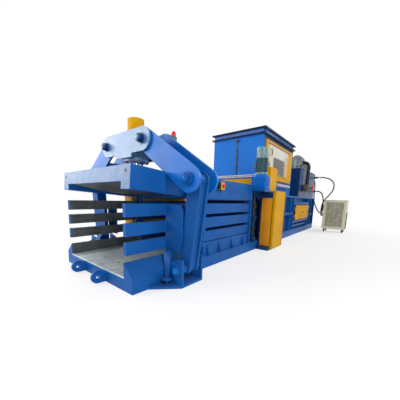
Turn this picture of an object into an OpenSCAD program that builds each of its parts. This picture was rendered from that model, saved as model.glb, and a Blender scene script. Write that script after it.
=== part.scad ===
// Horizontal baler: press chamber, squeezing mouth, feed hopper, wire tying unit, oil unit and chiller.
// Millimetres. X runs from the discharge mouth to the rear, Y across, Z up, floor at Z = 0.
// The photographed side is at negative Y. The origin is under the middle of the front sill.

/* [Base frame] */
// Length of the whole bed from the mouth edge to the rear
machine_length = 8160; // [7700:10:8600]
// Half of the width over the two side rails
base_half_width = 836; // [830:1:860]
// Height of the side rails
rail_height = 173; // [165:1:190]
// Width of the side rails
rail_width = 152; // [146:1:156]
// Length of the front sill along the machine
sill_width = 120; // [100:2:140]
// Height of the flared curb at the inner edge
curb_top = 311; // [290:1:330]
// Thickness of the bare floor plate
floor_plate_thickness = 20; // [14:1:26]
// Outer radius of the two coupling lugs
lug_radius = 75; // [65:1:76]
// Radius of the hole in a coupling lug
lug_hole_radius = 22; // [16:1:30]
// Thickness of a coupling lug
lug_thickness = 30; // [20:1:40]
// Distance of the coupling lugs from the centreline
lug_offset = 275; // [220:5:330]
// Reach of the side brackets from the centreline
bracket_reach = 1090; // [1086:1:1130]
// Height of the side bracket plates at the outer edge
bracket_height = 322; // [300:1:340]

/* [Chamber] */
// Half of the clear width inside the chamber
chamber_half_width = 680; // [676:1:683]
// Height of the chamber ceiling above the ground
chamber_top = 1000; // [996:1:1004]
// Height of the lowest slat above the ground
slat_bottom = 394; // [392:1:410]
// Height of one side slat
slat_height = 136; // [124:1:140]
// Free gap between two side slats
slat_gap = 66; // [58:1:68]
// Depth of one side slat
slat_depth = 50; // [40:1:52]
// Thickness of the wear plates
liner_thickness = 10; // [6:1:12]
// Height of the slots in the fixed walls
slot_height = 50; // [36:1:54]
// Top of the fixed chamber body above the ground
body_top = 1285; // [1270:1:1296]

/* [Mouth platen] */
// Height of the platen box
platen_height = 240; // [215:1:244]
// Half of the platen width over the cheeks
platen_half_width = 828; // [800:1:834]
// Width of one platen cheek
cheek_width = 156; // [140:1:160]
// Angle by which the platen is raised at the mouth
platen_raise = 3.8; // [3.2:0.1:4.4]

/* [Squeezing arch] */
// Depth of a swinging post along the machine
post_depth = 160; // [140:2:176]
// Distance of the post foot pins from the centreline
foot_pin_y = 1035; // [1030:1:1040]
// Height of the post foot pins
foot_pin_z = 200; // [190:1:206]
// Radius of the post foot pins
foot_pin_radius = 32; // [26:1:36]
// Distance of the post top pins from the centreline
top_pin_y = 1140; // [1130:1:1150]
// Height of the post top pins
top_pin_z = 1200; // [1185:1:1215]
// Radius of the post top pins
top_pin_radius = 42; // [34:1:48]
// Distance of the link pins from the centreline
link_pin_y = 410; // [395:1:425]
// Height of the link pins
link_pin_z = 1700; // [1685:1:1715]
// Radius of the link pins
link_pin_radius = 42; // [34:1:46]
// Thickness of the fork arm plates
arm_plate = 30; // [24:1:32]
// Thickness of the link plates
link_plate = 24; // [20:1:28]

/* [Squeezing cylinder] */
// Outer radius of the squeezing cylinder
clamp_barrel_radius = 112; // [105:1:116]
// Height of the cylinder top above the ground
clamp_barrel_top = 2045; // [2020:1:2070]
// Radius of the squeezing cylinder rod
clamp_rod_radius = 55; // [45:1:60]
// Radius of the bolted cylinder flange
clamp_flange_radius = 176; // [168:1:178]

/* [Hopper] */
// Front of the hopper rim along the machine
hopper_front = 3350; // [3340:5:3370]
// Rear of the hopper rim along the machine
hopper_rear = 5560; // [5540:5:5580]
// Half of the width over the hopper rim
rim_half_width = 690; // [680:1:710]
// Height of the hopper rim above the ground
rim_top = 2574; // [2560:1:2600]
// Height of the channel that makes the rim
rim_height = 144; // [130:1:150]
// How far the rim stands out from the hopper walls
rim_overhang = 48; // [40:1:56]
// Thickness of the hopper walls
hopper_wall = 12; // [8:1:14]

/* [Tying unit] */
// Reach of the tying unit covers from the centreline
tying_reach = 1130; // [1120:1:1160]
// Front of the tying unit covers along the machine
tying_front = 2960; // [2940:5:2980]
// Rear of the tying unit covers along the machine
tying_rear = 3600; // [3570:5:3630]
// Radius of the tying motor body
tying_motor_radius = 103; // [95:1:112]
// Top of the tying motor above the ground
tying_motor_top = 1990; // [1960:5:2020]
// Radius of the twister shaft
twister_shaft_radius = 25; // [20:1:30]

/* [Main press] */
// Outer radius of the main cylinder
main_barrel_radius = 155; // [145:1:165]
// Radius of the main cylinder rod
main_rod_radius = 90; // [75:1:100]
// Height of the main cylinder axis above the ground
main_axis_z = 560; // [540:5:600]
// Length of the pressing ram head
ram_length = 260; // [240:5:280]

/* [Oil unit] */
// Front face of the oil tank along the machine
tank_front = 5890; // [5860:5:5920]
// Rear face of the oil tank along the machine
tank_rear = 7930; // [7900:5:7960]
// Top of the oil tank above the ground
tank_top = 1990; // [1970:1:2000]
// Radius of the pump pipe
pump_pipe_radius = 48; // [42:1:50]
// Radius of the red handwheel
handwheel_radius = 110; // [95:1:120]

/* [Chiller] */
// Front face of the chiller along the machine
chiller_front = 7100; // [7080:5:7120]
// Width of the chiller cabinet
chiller_width = 635; // [610:1:650]
// Depth of the chiller cabinet
chiller_depth = 600; // [580:1:620]
// Top of the chiller above the ground
chiller_top = 1075; // [1050:1:1100]
// Radius of the chiller wheels
caster_radius = 40; // [36:1:42]

/* [Hidden] */
$fn = 64;
touch = 0.05;
front_edge = -sill_width / 2;
rear_edge = front_edge + machine_length;
floor_top = 158;
floor_under = floor_top - floor_plate_thickness;
rail_inner = base_half_width - rail_width;
slat_pitch = slat_height + slat_gap;
slat_count = 3;
slat_inner = chamber_half_width + liner_thickness;
slat_outer = slat_inner + slat_depth;
panel_rear = 1090;
panel_hinge_x = 1125;
panel_hinge_y = base_half_width - 46;
panel_pin_radius = 18;
panel_pin_low = 330;
pad_z = 620;
panel_pin_high = chamber_top - 14;
knuckle_radius = 32;
wall_front = 1160;
wall_rear = 2600;
wall_outer = base_half_width - 36;
skin_outer = base_half_width + 4;
arch_x = 595;
bracket_half = 186;
bracket_plate = 30;
bracket_wedge_front = 136;
foot_disc_z = 84;
rest_top = slat_bottom - 2;
rest_x = 345;
rest_y = 915;
link_half = 205;
arm_half = 170;
post_half = post_depth / 2;
post_plate = 30;
post_foot_radius = 70;
post_top_radius = 92;
arm_foot_radius = 142;
arm_head_radius = 130;
link_end_radius = 140;
running_gap = 0.05;
hinge_pin_radius = 7;
knuckle_height = 50;
knuckle_gap = 0.3;
platen_hinge_x = 1128;
platen_hinge_z = 1325;
platen_pin_radius = 25;
clevis_shift = 0.8;
arm_relief = 74;
platen_front = -45;
platen_rear = 1100;
clevis_x = arch_x;
clevis_z = 1330;
trunnion_radius = 25;
trunnion_gap = 1.1;
carrier_z = 1530;
link_tab_z = 1511;
shelf_z = 1180;
motor_x = 2750;
motor_y = -915;
shaft_x = 2760;
shaft_y = -800;
frame_top = 1145;
skin_inner = slat_inner;
throat_front = hopper_front + rim_overhang;
throat_rear = hopper_rear - rim_overhang;
ram_face = throat_rear - hopper_wall;
ram_travel = 2100;
ram_deck_rest = 100;
barrel_front = ram_face + ram_length + 15;
barrel_rear = rear_edge - 40;
door_front = hopper_front + 140;
door_rear = hopper_rear - 210;
door_low = 1490;
door_high = rim_top - rim_height - 95;
window_front = door_front + 430;
window_rear = door_rear - 370;
window_low = door_low + 140;
window_high = door_high - 85;
hopper_half = rim_half_width - rim_overhang;
door_hinge_x = door_rear + 18;
door_hinge_y = -hopper_half - 26;
access_front = hopper_rear - 40;
access_rear = rear_edge - 1000;
access_low = 450;
access_high = 885;
access_hinge_x = access_front - 16;
access_hinge_y = -base_half_width - 10;
chiller_near = -1955;
chiller_far = chiller_near + chiller_width;
chiller_low = 120;
valve_x = tank_front + 510;
valve_middle = -900;
pump_port_y = -720;
valve_z = 1430;
pump_z = tank_top + 240;
motor_a_x = tank_front + 390;
motor_b_x = tank_front + 1010;
hose_radius = 20;
hose_y = -1225;
hose_side = [0.45, 0.85, -0.25];

// Shared shapes

// Block between two corners
module block(x0, x1, y0, y1, z0, z1) {
    translate([x0, y0, z0])
        cube([x1 - x0, y1 - y0, z1 - z0]);
}

// The shape and its mirror image across the centreline
module both_sides() {
    children();
    mirror([0, 1, 0])
        children();
}

// Flat plate across the machine, drawn as Y and Z
module plate_yz(x0, x1) {
    translate([x0, 0, 0])
        rotate([90, 0, 90])
            linear_extrude(x1 - x0)
                children();
}

// Flat plate along the machine, drawn as X and Z
module plate_xz(y0, y1) {
    translate([0, y1, 0])
        rotate([90, 0, 0])
            linear_extrude(y1 - y0)
                children();
}

// Round bar along the machine
module bar_x(x0, x1, y, z, r) {
    translate([x0, y, z])
        rotate([0, 90, 0])
            cylinder(h = x1 - x0, r = r);
}

// Round bar across the machine
module bar_y(y0, y1, x, z, r) {
    translate([x, y1, z])
        rotate([90, 0, 0])
            cylinder(h = y1 - y0, r = r);
}

// Upright round bar
module bar_z(z0, z1, x, y, r) {
    translate([x, y, z0])
        cylinder(h = z1 - z0, r = r);
}

// Corners of the straight part between two round ends
function tangent_quad(p, r, q, s) =
    let (
        d = norm(q - p),
        a = atan2(q[1] - p[1], q[0] - p[0]),
        b = acos((r - s) / d),
        u = [cos(a + b), sin(a + b)],
        v = [cos(a - b), sin(a - b)]
    )
    [p + (r - touch) * u, q + (s - touch) * u, q + (s - touch) * v, p + (r - touch) * v];

// Tapered bar outline with round ends
module link_outline(p, r, q, s) {
    translate(p)
        circle(r);
    translate(q)
        circle(s);
    polygon(tangent_quad(p, r, q, s));
}

// Base frame

module rail() {
    difference() {
        block(front_edge, rear_edge, -base_half_width, -rail_inner, 0, rail_height);
        block(front_edge + 200, rear_edge - 200, -base_half_width + 16, -rail_inner + 1, 16, rail_height - 16);
    }
}

module curb() {
    plate_yz(front_edge, panel_hinge_x - 45)
        polygon([
            [-rail_inner, rail_height - 1],
            [-rail_inner, curb_top],
            [-base_half_width, rail_height],
            [-base_half_width, rail_height - 1]
        ]);
}

module coupling_lug(y) {
    lug_x = front_edge - 90;
    plate_xz(y - lug_thickness / 2, y + lug_thickness / 2)
        difference() {
            union() {
                translate([lug_x, lug_radius + 3])
                    circle(lug_radius);
                polygon([
                    [lug_x, 3 + touch],
                    [front_edge + 1, 3 + touch],
                    [front_edge + 1, floor_under],
                    [front_edge - 30, floor_under],
                    [lug_x + 0.5 * lug_radius, lug_radius * 1.86]
                ]);
            }
            translate([lug_x, lug_radius + 3])
                circle(lug_hole_radius);
        }
}

module bracket_outline() {
    polygon([
        [-base_half_width + 1, 0],
        [-bracket_reach, 0],
        [-bracket_reach, bracket_height],
        [-bracket_reach + 40, bracket_height],
        [-base_half_width - 24, 262],
        [-base_half_width + 1, rail_height - 1]
    ]);
}

module side_bracket() {
    for (x = [arch_x - bracket_half, arch_x + bracket_half - bracket_plate])
        difference() {
            plate_yz(x, x + bracket_plate)
                bracket_outline();
            bar_x(x - 1, x + bracket_plate + 1, -foot_pin_y, foot_pin_z, foot_pin_radius);
        }
    linear_extrude(bracket_plate)
        polygon([
            [bracket_wedge_front, -base_half_width + 1],
            [arch_x - bracket_half + 1, -bracket_reach],
            [arch_x + bracket_half - 1, -bracket_reach],
            [arch_x + bracket_half - 1, -base_half_width + 1]
        ]);
}

module panel_rest() {
    lean = atan2(100, rest_top - foot_disc_z);
    bar_z(bracket_plate - 1, foot_disc_z + 1, rest_x, -rest_y, 14);
    bar_z(foot_disc_z, foot_disc_z + 18, rest_x, -rest_y, 60);
    difference() {
        translate([rest_x, 0, foot_disc_z])
            rotate([0, lean, 0])
                plate_yz(-8, 8)
                    polygon([
                        [-rest_y - 24, 10],
                        [-rest_y + 24, 10],
                        [-slat_inner - 14, rest_top + 40],
                        [-slat_inner - 170, rest_top + 40]
                    ]);
        block(rest_x - 200, rest_x + 300, -rest_y - 200, -rest_y + 400, rest_top, rest_top + 200);
    }
}

module rail_gusset(x) {
    plate_yz(x, x + 14)
        polygon([
            [-wall_outer, rail_height - 1],
            [-wall_outer, 360],
            [-base_half_width, 230],
            [-base_half_width, rail_height - 1]
        ]);
}

module base_frame() {
    color([0.10, 0.29, 0.62])
        both_sides() {
            rail();
            curb();
            side_bracket();
            panel_rest();
            for (x = [1250, 1560, 1950, 2340])
                rail_gusset(x);
        }
}

// Cross members under the floor, and the bulkheads that join the sides of the press body
module cross_members() {
    color([0.10, 0.29, 0.62]) {
        block(front_edge, front_edge + sill_width, -rail_inner, rail_inner, 0, floor_under);
        for (side = [-1, 1])
            coupling_lug(side * lug_offset);
        for (x = [900 : 1000 : rear_edge - 1200])
            block(x, x + 100, -rail_inner, rail_inner, 16, floor_under);
        block(rear_edge - 200, rear_edge, -rail_inner, rail_inner, 0, floor_under);
        block(rear_edge - 40, rear_edge, -rail_inner, rail_inner, floor_under - 1, rail_height);
        block(rear_edge - 40, rear_edge, -skin_inner, skin_inner, rail_height, frame_top);
        block(throat_rear - hopper_wall, rear_edge, -skin_inner, skin_inner, chamber_top + 2, chamber_top + 16);
        block(throat_rear - hopper_wall, throat_rear + 8, -skin_inner, skin_inner, chamber_top + 15, frame_top);
        for (x = [rear_edge - 2200, rear_edge - 1300, rear_edge - 400])
            block(x, x + 60, -skin_inner, skin_inner, chamber_top + 15, frame_top);
    }
}

module floor_plate() {
    color([0.52, 0.54, 0.55])
        block(front_edge, rear_edge - 60, -rail_inner, rail_inner, floor_under, floor_top);
}

module curb_liners() {
    color([0.17, 0.17, 0.18])
        both_sides()
            block(front_edge + 4, panel_hinge_x - 45, -rail_inner, -rail_inner + liner_thickness,
                floor_top, curb_top);
}

module frame_pins() {
    color([0.16, 0.33, 0.62]) {
        both_sides() {
            bar_x(arch_x - bracket_half - 4, arch_x + bracket_half + 4, -foot_pin_y, foot_pin_z,
                foot_pin_radius);
            bar_x(arch_x - bracket_half - 26, arch_x - bracket_half, -foot_pin_y, foot_pin_z,
                foot_pin_radius + 18);
            bar_x(arch_x + bracket_half, arch_x + bracket_half + 20, -foot_pin_y, foot_pin_z,
                foot_pin_radius + 18);
            bar_x(arch_x - bracket_half + bracket_plate, arch_x - post_half - 3, -foot_pin_y,
                foot_pin_z, foot_pin_radius + 14);
            bar_z(panel_pin_low, panel_pin_high, panel_hinge_x, -panel_hinge_y, panel_pin_radius);
        }
        both_sides()
            bar_y(-670, -310, platen_hinge_x, platen_hinge_z, platen_pin_radius);
    }
}

// Chamber

module wall_lugs() {
    for (z = [panel_pin_low, slat_bottom + slat_pitch - slat_gap / 2 - 27,
            slat_bottom + 2 * slat_pitch - slat_gap / 2 - 27])
        difference() {
            block(panel_hinge_x - 30, wall_front + 1, -panel_hinge_y - 34, -panel_hinge_y + 44, z, z + 54);
            bar_z(z - 1, z + 55, panel_hinge_x, -panel_hinge_y, panel_pin_radius);
        }
}

module chamber_wall() {
    difference() {
        union() {
            block(wall_front, wall_rear, -wall_outer, -slat_inner, rail_height, body_top);
            block(wall_front, wall_rear, -skin_outer, -wall_outer + 1, chamber_top, body_top);
            block(wall_rear - 30, wall_rear, -skin_outer + 6, -wall_outer + 1, rail_height, chamber_top + 1);
        }
        for (i = [0 : slat_count - 1])
            block(wall_front + 40, wall_rear - 30, -skin_outer, -slat_inner + 1,
                slat_bottom + i * slat_pitch + slat_height + 4,
                slat_bottom + i * slat_pitch + slat_height + 4 + slot_height);
        block(wall_front - 1, wall_rear - 30, -wall_outer - 1, -wall_outer + 24, slat_bottom - 24,
            slat_bottom - 6);
    }
    wall_lugs();
}

module near_chamber_wall() {
    color([0.11, 0.31, 0.66])
        chamber_wall();
}

module far_chamber_wall() {
    color([0.11, 0.31, 0.66])
        mirror([0, 1, 0])
            chamber_wall();
}

module chamber_roof() {
    roof_top = body_top - 5;
    roof_rear = hopper_front + rim_overhang;
    color([0.10, 0.28, 0.60]) {
        block(wall_front, roof_rear, -slat_inner, slat_inner, chamber_top, chamber_top + 25);
        for (x = [wall_front, 1500, 1850, 2200, 2550, 2900, roof_rear - 20])
            block(x, x + 20, -slat_inner, slat_inner, chamber_top + 24, roof_top);
        for (y = [-500, 0, 500])
            block(wall_front, roof_rear, y - 8, y + 8, chamber_top + 24, roof_top);
        block(wall_front, roof_rear, -slat_inner, slat_inner, roof_top - 1, roof_top + 9);
        for (y = [-640, -340, 340, 640])
            difference() {
                union() {
                    plate_xz(y - 15, y + 15)
                        polygon([
                            [platen_hinge_x, platen_hinge_z - 47],
                            [wall_front + 10, platen_hinge_z - 80],
                            [wall_front + 10, roof_top],
                            [wall_front + 150, roof_top],
                            [wall_front + 150, roof_top + 9],
                            [platen_hinge_x + 20, platen_hinge_z + 43]
                        ]);
                    bar_y(y - 15, y + 15, platen_hinge_x, platen_hinge_z, 48);
                }
                bar_y(y - 16, y + 16, platen_hinge_x, platen_hinge_z, platen_pin_radius);
            }
    }
}

// Squeezing side panels

module push_outline() {
    polygon([
        [-slat_outer + 1, slat_bottom - 30],
        [-slat_outer + 1, slat_bottom + 2 * slat_pitch + slat_height - 9],
        [-970, slat_bottom + 2 * slat_pitch + slat_height - 9],
        [-1008, slat_bottom + 2 * slat_pitch + 70],
        [-1008, slat_bottom + 150],
        [-970, slat_bottom - 10],
        [-940, slat_bottom - 30]
    ]);
}

module side_panel() {
    for (i = [0 : slat_count - 1]) {
        z = slat_bottom + i * slat_pitch;
        difference() {
            block(front_edge, panel_rear, -slat_outer, -slat_inner, z, z + slat_height);
            block(front_edge + 14, panel_rear - 14, -slat_outer + 10, -slat_inner + 1, z + 10, z + slat_height - 10);
        }
        block(front_edge + 330, front_edge + 350, -slat_outer + 1, -slat_inner, z + 1, z + slat_height - 1);
        difference() {
            union() {
                bar_z(z + 14, z + 96, panel_hinge_x, -panel_hinge_y, knuckle_radius);
                block(panel_rear - 110, panel_hinge_x, -panel_hinge_y - 18, -slat_outer + 1, z + 14, z + 96);
            }
            bar_z(z, z + slat_height, panel_hinge_x, -panel_hinge_y, panel_pin_radius + running_gap);
        }
    }
    for (x = [arch_x - 112, arch_x + 92])
        plate_yz(x, x + 20)
            push_outline();
    block(arch_x - 112, arch_x + 112, -985, -973, pad_z - 60, pad_z + 60);
}

module near_side_panel() {
    color([0.14, 0.36, 0.72])
        side_panel();
}

module far_side_panel() {
    color([0.14, 0.36, 0.72])
        mirror([0, 1, 0])
            side_panel();
}

module panel_liners() {
    for (i = [0 : slat_count - 1])
        block(front_edge + 6, panel_rear, -slat_inner, -chamber_half_width, slat_bottom + i * slat_pitch,
            slat_bottom + i * slat_pitch + slat_height);
}

module near_panel_liners() {
    color([0.19, 0.19, 0.20])
        panel_liners();
}

module far_panel_liners() {
    color([0.19, 0.19, 0.20])
        mirror([0, 1, 0])
            panel_liners();
}

// Mouth platen

// Turns the level platen up to its raised rest position
module raised() {
    translate([platen_hinge_x, 0, platen_hinge_z])
        rotate([0, platen_raise, 0])
            translate([-platen_hinge_x, 0, -platen_hinge_z])
                children();
}

// Open-topped pocket along the cheek, between two distances from the mouth
module cheek_pocket(x0, x1, recess) {
    block(x0, x1, -platen_half_width + recess + 16, -platen_half_width + cheek_width - 16, chamber_top + 20,
        chamber_top + platen_height + 1);
}

// Side box of the platen, set back where the arms pass
module platen_cheek() {
    relief_front = arch_x - arm_half - 25;
    relief_rear = arch_x + arm_half + 25;
    difference() {
        block(platen_front, platen_rear, -platen_half_width, -platen_half_width + cheek_width, chamber_top,
            chamber_top + platen_height);
        block(relief_front, relief_rear, -platen_half_width - 1, -platen_half_width + arm_relief,
            chamber_top - 1, chamber_top + platen_height + 1);
        cheek_pocket(platen_front + 25, relief_front - 16, 0);
        cheek_pocket(relief_front - 17, relief_rear + 17, arm_relief);
        cheek_pocket(relief_rear + 16, platen_rear - 20, 0);
        bar_x(platen_front - 1, platen_front + 26, -platen_half_width + 78, chamber_top + platen_height - 62, 13);
    }
}

module platen_clevis() {
    lug_low = chamber_top + 130;
    for (y = [-72, 42])
        plate_xz(y, y + 30)
            difference() {
                union() {
                    translate([clevis_x, clevis_z])
                        circle(60);
                    polygon([
                        [clevis_x - 110, lug_low],
                        [clevis_x + 110, lug_low],
                        [clevis_x + 59, clevis_z],
                        [clevis_x - 59, clevis_z]
                    ]);
                }
                translate([clevis_x, clevis_z])
                    circle(trunnion_radius + trunnion_gap);
            }
}

module mouth_platen() {
    inner = platen_half_width - cheek_width;
    deck = chamber_top + 118;
    color([0.12, 0.33, 0.68])
        raised() {
                both_sides()
                    platen_cheek();
                block(platen_front, platen_front + 25, -inner - 1, inner + 1, chamber_top + 78,
                    chamber_top + platen_height);
                block(platen_rear - 20, platen_rear, -inner - 1, inner + 1, chamber_top + 40,
                    chamber_top + platen_height);
                block(platen_front, platen_rear, -inner - 1, inner + 1, deck, deck + 25);
                for (x = [240, clevis_x - 110, clevis_x + 90, 880])
                    block(x, x + 20, -inner - 1, inner + 1, deck + 24, chamber_top + platen_height - 10);
                for (y = [-400, 400])
                    block(platen_front + 1, platen_rear - 1, y - 8, y + 8, deck + 24,
                        chamber_top + platen_height - 10);
                platen_clevis();
                for (y = [-590, -390, 390, 590])
                    difference() {
                        union() {
                            plate_xz(y - 20, y + 20)
                                polygon([
                                    [platen_rear - 150, chamber_top + platen_height - 30],
                                    [platen_rear - 1, chamber_top + platen_height - 30],
                                    [platen_hinge_x + 6, platen_hinge_z - 44],
                                    [platen_hinge_x, platen_hinge_z + 44],
                                    [platen_rear - 90, platen_hinge_z + 10]
                                ]);
                            bar_y(y - 20, y + 20, platen_hinge_x, platen_hinge_z, 46);
                        }
                        bar_y(y - 21, y + 21, platen_hinge_x, platen_hinge_z,
                            platen_pin_radius + running_gap);
                    }
        }
}

module platen_liner() {
    inner = platen_half_width - cheek_width;
    color([0.17, 0.17, 0.18])
        raised()
            plate_xz(-inner + 1, inner - 1)
                polygon([
                    [platen_front + 26, chamber_top + 79],
                    [platen_front + 26, chamber_top + 117],
                    [platen_rear - 21, chamber_top + 117],
                    [platen_rear - 21, chamber_top + 41],
                    [platen_rear - 60, chamber_top + 28],
                    [platen_front + 560, chamber_top + 28]
                ]);
}

// Posts and arms

module post() {
    foot = [-foot_pin_y, foot_pin_z];
    top = [-top_pin_y, top_pin_z];
    difference() {
        union() {
            for (x = [arch_x - post_half, arch_x + post_half - post_plate])
                plate_yz(x, x + post_plate)
                    link_outline(foot, post_foot_radius, top, post_top_radius);
            plate_yz(arch_x - post_half + 1, arch_x + post_half - 1)
                link_outline(foot, 46, top, 60);
            bar_x(arch_x - post_half - 40, arch_x + post_half + 40, -top_pin_y, top_pin_z, top_pin_radius + 26);
            block(arch_x - post_half + 1, arch_x + post_half - 1, -1050, -991, pad_z - 30, pad_z + 30);
        }
        bar_x(arch_x - link_half, arch_x + link_half, -foot_pin_y, foot_pin_z,
            foot_pin_radius + running_gap);
        bar_x(arch_x - link_half, arch_x + link_half, -top_pin_y, top_pin_z, top_pin_radius);
    }
}

module near_post() {
    color([0.12, 0.34, 0.70])
        post();
}

module far_post() {
    color([0.12, 0.34, 0.70])
        mirror([0, 1, 0])
            post();
}

module post_pin() {
    bar_x(arch_x - arm_half - 4, arch_x + arm_half + 4, -top_pin_y, top_pin_z, top_pin_radius);
    bar_x(arch_x - arm_half - 30, arch_x - arm_half - 2, -top_pin_y, top_pin_z, top_pin_radius + 30);
    bar_x(arch_x - arm_half - 44, arch_x - arm_half - 29, -top_pin_y, top_pin_z, top_pin_radius + 6);
    bar_x(arch_x + arm_half + 2, arch_x + arm_half + 24, -top_pin_y, top_pin_z, top_pin_radius + 30);
}

module near_post_pin() {
    color([0.20, 0.45, 0.80])
        post_pin();
}

module far_post_pin() {
    color([0.20, 0.45, 0.80])
        mirror([0, 1, 0])
            post_pin();
}

module arm() {
    foot = [-top_pin_y, top_pin_z];
    head = [-link_pin_y, link_pin_z];
    difference() {
        union() {
            for (x = [arch_x - arm_half, arch_x + arm_half - arm_plate])
                plate_yz(x, x + arm_plate)
                    link_outline(foot, arm_foot_radius, head, arm_head_radius);
            translate([arch_x - arm_half + 1, (foot[0] + head[0]) / 2, (foot[1] + head[1]) / 2])
                rotate([atan2(head[1] - foot[1], head[0] - foot[0]), 0, 0])
                    translate([0, -110, -30])
                        cube([2 * arm_half - 2, 220, 60]);
        }
        bar_x(arch_x - arm_half - 1, arch_x + arm_half + 1, foot[0], foot[1], top_pin_radius + running_gap);
        bar_x(arch_x - arm_half - 1, arch_x + arm_half + 1, head[0], head[1], link_pin_radius + 5);
    }
}

module near_arm() {
    color([0.22, 0.50, 0.86])
        arm();
}

module far_arm() {
    color([0.22, 0.50, 0.86])
        mirror([0, 1, 0])
            arm();
}

module link_outline_plate() {
    for (side = [-1, 1])
        translate([side * link_pin_y, link_pin_z])
            circle(link_end_radius);
    polygon([
        [-link_pin_y, link_pin_z + link_end_radius - touch],
        [-link_pin_y, link_pin_z - link_end_radius + touch],
        [-185, link_pin_z - link_end_radius + touch],
        [-185, link_tab_z],
        [185, link_tab_z],
        [185, link_pin_z - link_end_radius + touch],
        [link_pin_y, link_pin_z - link_end_radius + touch],
        [link_pin_y, link_pin_z + link_end_radius - touch]
    ]);
}

module link_beam() {
    color([0.70, 0.76, 0.86])
        difference() {
            union() {
                for (x = [arch_x - link_half, arch_x + link_half - link_plate])
                    plate_yz(x, x + link_plate)
                        link_outline_plate();
                block(arch_x - link_half + 1, arch_x + link_half - 1, -182, 182, carrier_z, carrier_z + 40);
                for (side = [-1, 1])
                    block(arch_x - link_half + 1, arch_x + link_half - 1, side * 160 - 10,
                        side * 160 + 10, carrier_z + 39, link_pin_z + 60);
                bar_z(carrier_z - 50, carrier_z + 1, arch_x, 0, clamp_flange_radius);
                for (a = [22.5 : 45 : 337.5])
                    bar_z(carrier_z - 68, carrier_z - 49, arch_x + (clamp_flange_radius - 24) * cos(a),
                        (clamp_flange_radius - 24) * sin(a), 14);
            }
            for (side = [-1, 1])
                bar_x(arch_x - link_half - 1, arch_x + link_half + 1, side * link_pin_y, link_pin_z,
                    link_pin_radius);
            bar_z(carrier_z - 80, carrier_z + 6, arch_x, 0, clamp_rod_radius + 1);
            bar_z(carrier_z + 5, carrier_z + 50, arch_x, 0, clamp_barrel_radius);
        }
}

module link_pins() {
    color([0.08, 0.20, 0.45])
        for (side = [-1, 1]) {
            bar_x(arch_x - link_half - 4, arch_x + link_half + 4, side * link_pin_y, link_pin_z,
                link_pin_radius);
            bar_x(arch_x - link_half - 34, arch_x - link_half, side * link_pin_y, link_pin_z,
                link_pin_radius + 14);
            bar_x(arch_x + link_half, arch_x + link_half + 22, side * link_pin_y, link_pin_z,
                link_pin_radius + 14);
        }
}

module squeeze_cylinder() {
    color([0.86, 0.62, 0.10])
        difference() {
            union() {
                bar_z(carrier_z + 5, clamp_barrel_top, arch_x, 0, clamp_barrel_radius);
                bar_z(carrier_z + 90, clamp_barrel_top - 60, arch_x, clamp_barrel_radius + 22, 9);
                for (z = [carrier_z + 90, clamp_barrel_top - 80])
                    block(arch_x - 14, arch_x + 14, clamp_barrel_radius - 8, clamp_barrel_radius + 34, z, z + 26);
            }
            bar_z(carrier_z + 4, clamp_barrel_top - 30, arch_x, 0, clamp_barrel_radius - 22);
        }
}

module squeeze_rod() {
    reach = platen_hinge_x - clevis_x;
    trunnion_z = platen_hinge_z + reach * sin(platen_raise) + (clevis_z - platen_hinge_z) * cos(platen_raise);
    color([0.80, 0.82, 0.84]) {
        bar_z(trunnion_z + 72, clamp_barrel_top - 120, arch_x, 0, clamp_rod_radius);
        bar_z(clamp_barrel_top - 121, clamp_barrel_top - 50, arch_x, 0, clamp_barrel_radius - 23);
        block(arch_x - 42, arch_x + 42, -36, 36, trunnion_z - 42, trunnion_z + 73);
        bar_y(-66, 66, arch_x + clevis_shift, trunnion_z, trunnion_radius);
    }
}

// Tying unit

module tying_side() {
    block(tying_front - 40, tying_rear, -tying_reach + 40, -base_half_width, 0, 90);
    block(tying_front, tying_rear, -tying_reach + 40, -base_half_width - 30, 1052, shelf_z);
    block(tying_rear - 30, tying_rear, -tying_reach + 40, -base_half_width, 89, 1053);
    block(tying_front + 20, tying_rear - 29, -base_half_width - 30, -base_half_width, 89, 1053);
    block(wall_rear, tying_rear, -base_half_width - 31, -slat_inner, shelf_z - 20, shelf_z);
}

module tying_frame() {
    color([0.08, 0.20, 0.44]) {
        both_sides()
            tying_side();
        block(2560, tying_front + 1, -tying_reach + 40, -wall_outer - 41, shelf_z - 20, shelf_z);
        plate_xz(-skin_outer - 26, -skin_outer - 1)
            polygon([
                [wall_rear + 2, shelf_z - 19],
                [wall_rear + 2, shelf_z - 60],
                [tying_front - 2, shelf_z - 190],
                [tying_front - 2, shelf_z - 19]
            ]);
        for (z = [220, 640])
            difference() {
                block(shaft_x - 60, shaft_x + 60, shaft_y - 60, -slat_inner - 12, z, z + 40);
                bar_z(z - 1, z + 41, shaft_x, shaft_y, twister_shaft_radius + running_gap);
            }
    }
}

module tying_covers() {
    color([0.83, 0.62, 0.10]) {
        difference() {
            block(tying_front, tying_front + 16, -tying_reach + 42, -skin_outer - 45, 90, 1052);
            block(tying_front + 3, tying_front + 17, -tying_reach + 54, -skin_outer - 57, 102, 1040);
        }
        difference() {
            block(tying_front + 40, tying_rear, -tying_reach, -tying_reach + 40, 30, shelf_z + 12);
            block(tying_front + 43, tying_rear - 3, -tying_reach + 3, -tying_reach + 41, 33, shelf_z + 9);
        }
    }
}

module tying_top_guard() {
    color([0.86, 0.65, 0.10]) {
        difference() {
            block(tying_front + 10, tying_front + 370, -1010, -760, shelf_z, 1650);
            block(tying_front + 14, tying_front + 366, -1006, -764, shelf_z - 1, 1646);
        }
        difference() {
            block(2910, 2980, -700, 150, body_top + 4, 1440);
            block(2914, 2976, -696, 146, body_top + 3, 1436);
        }
    }
}

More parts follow.
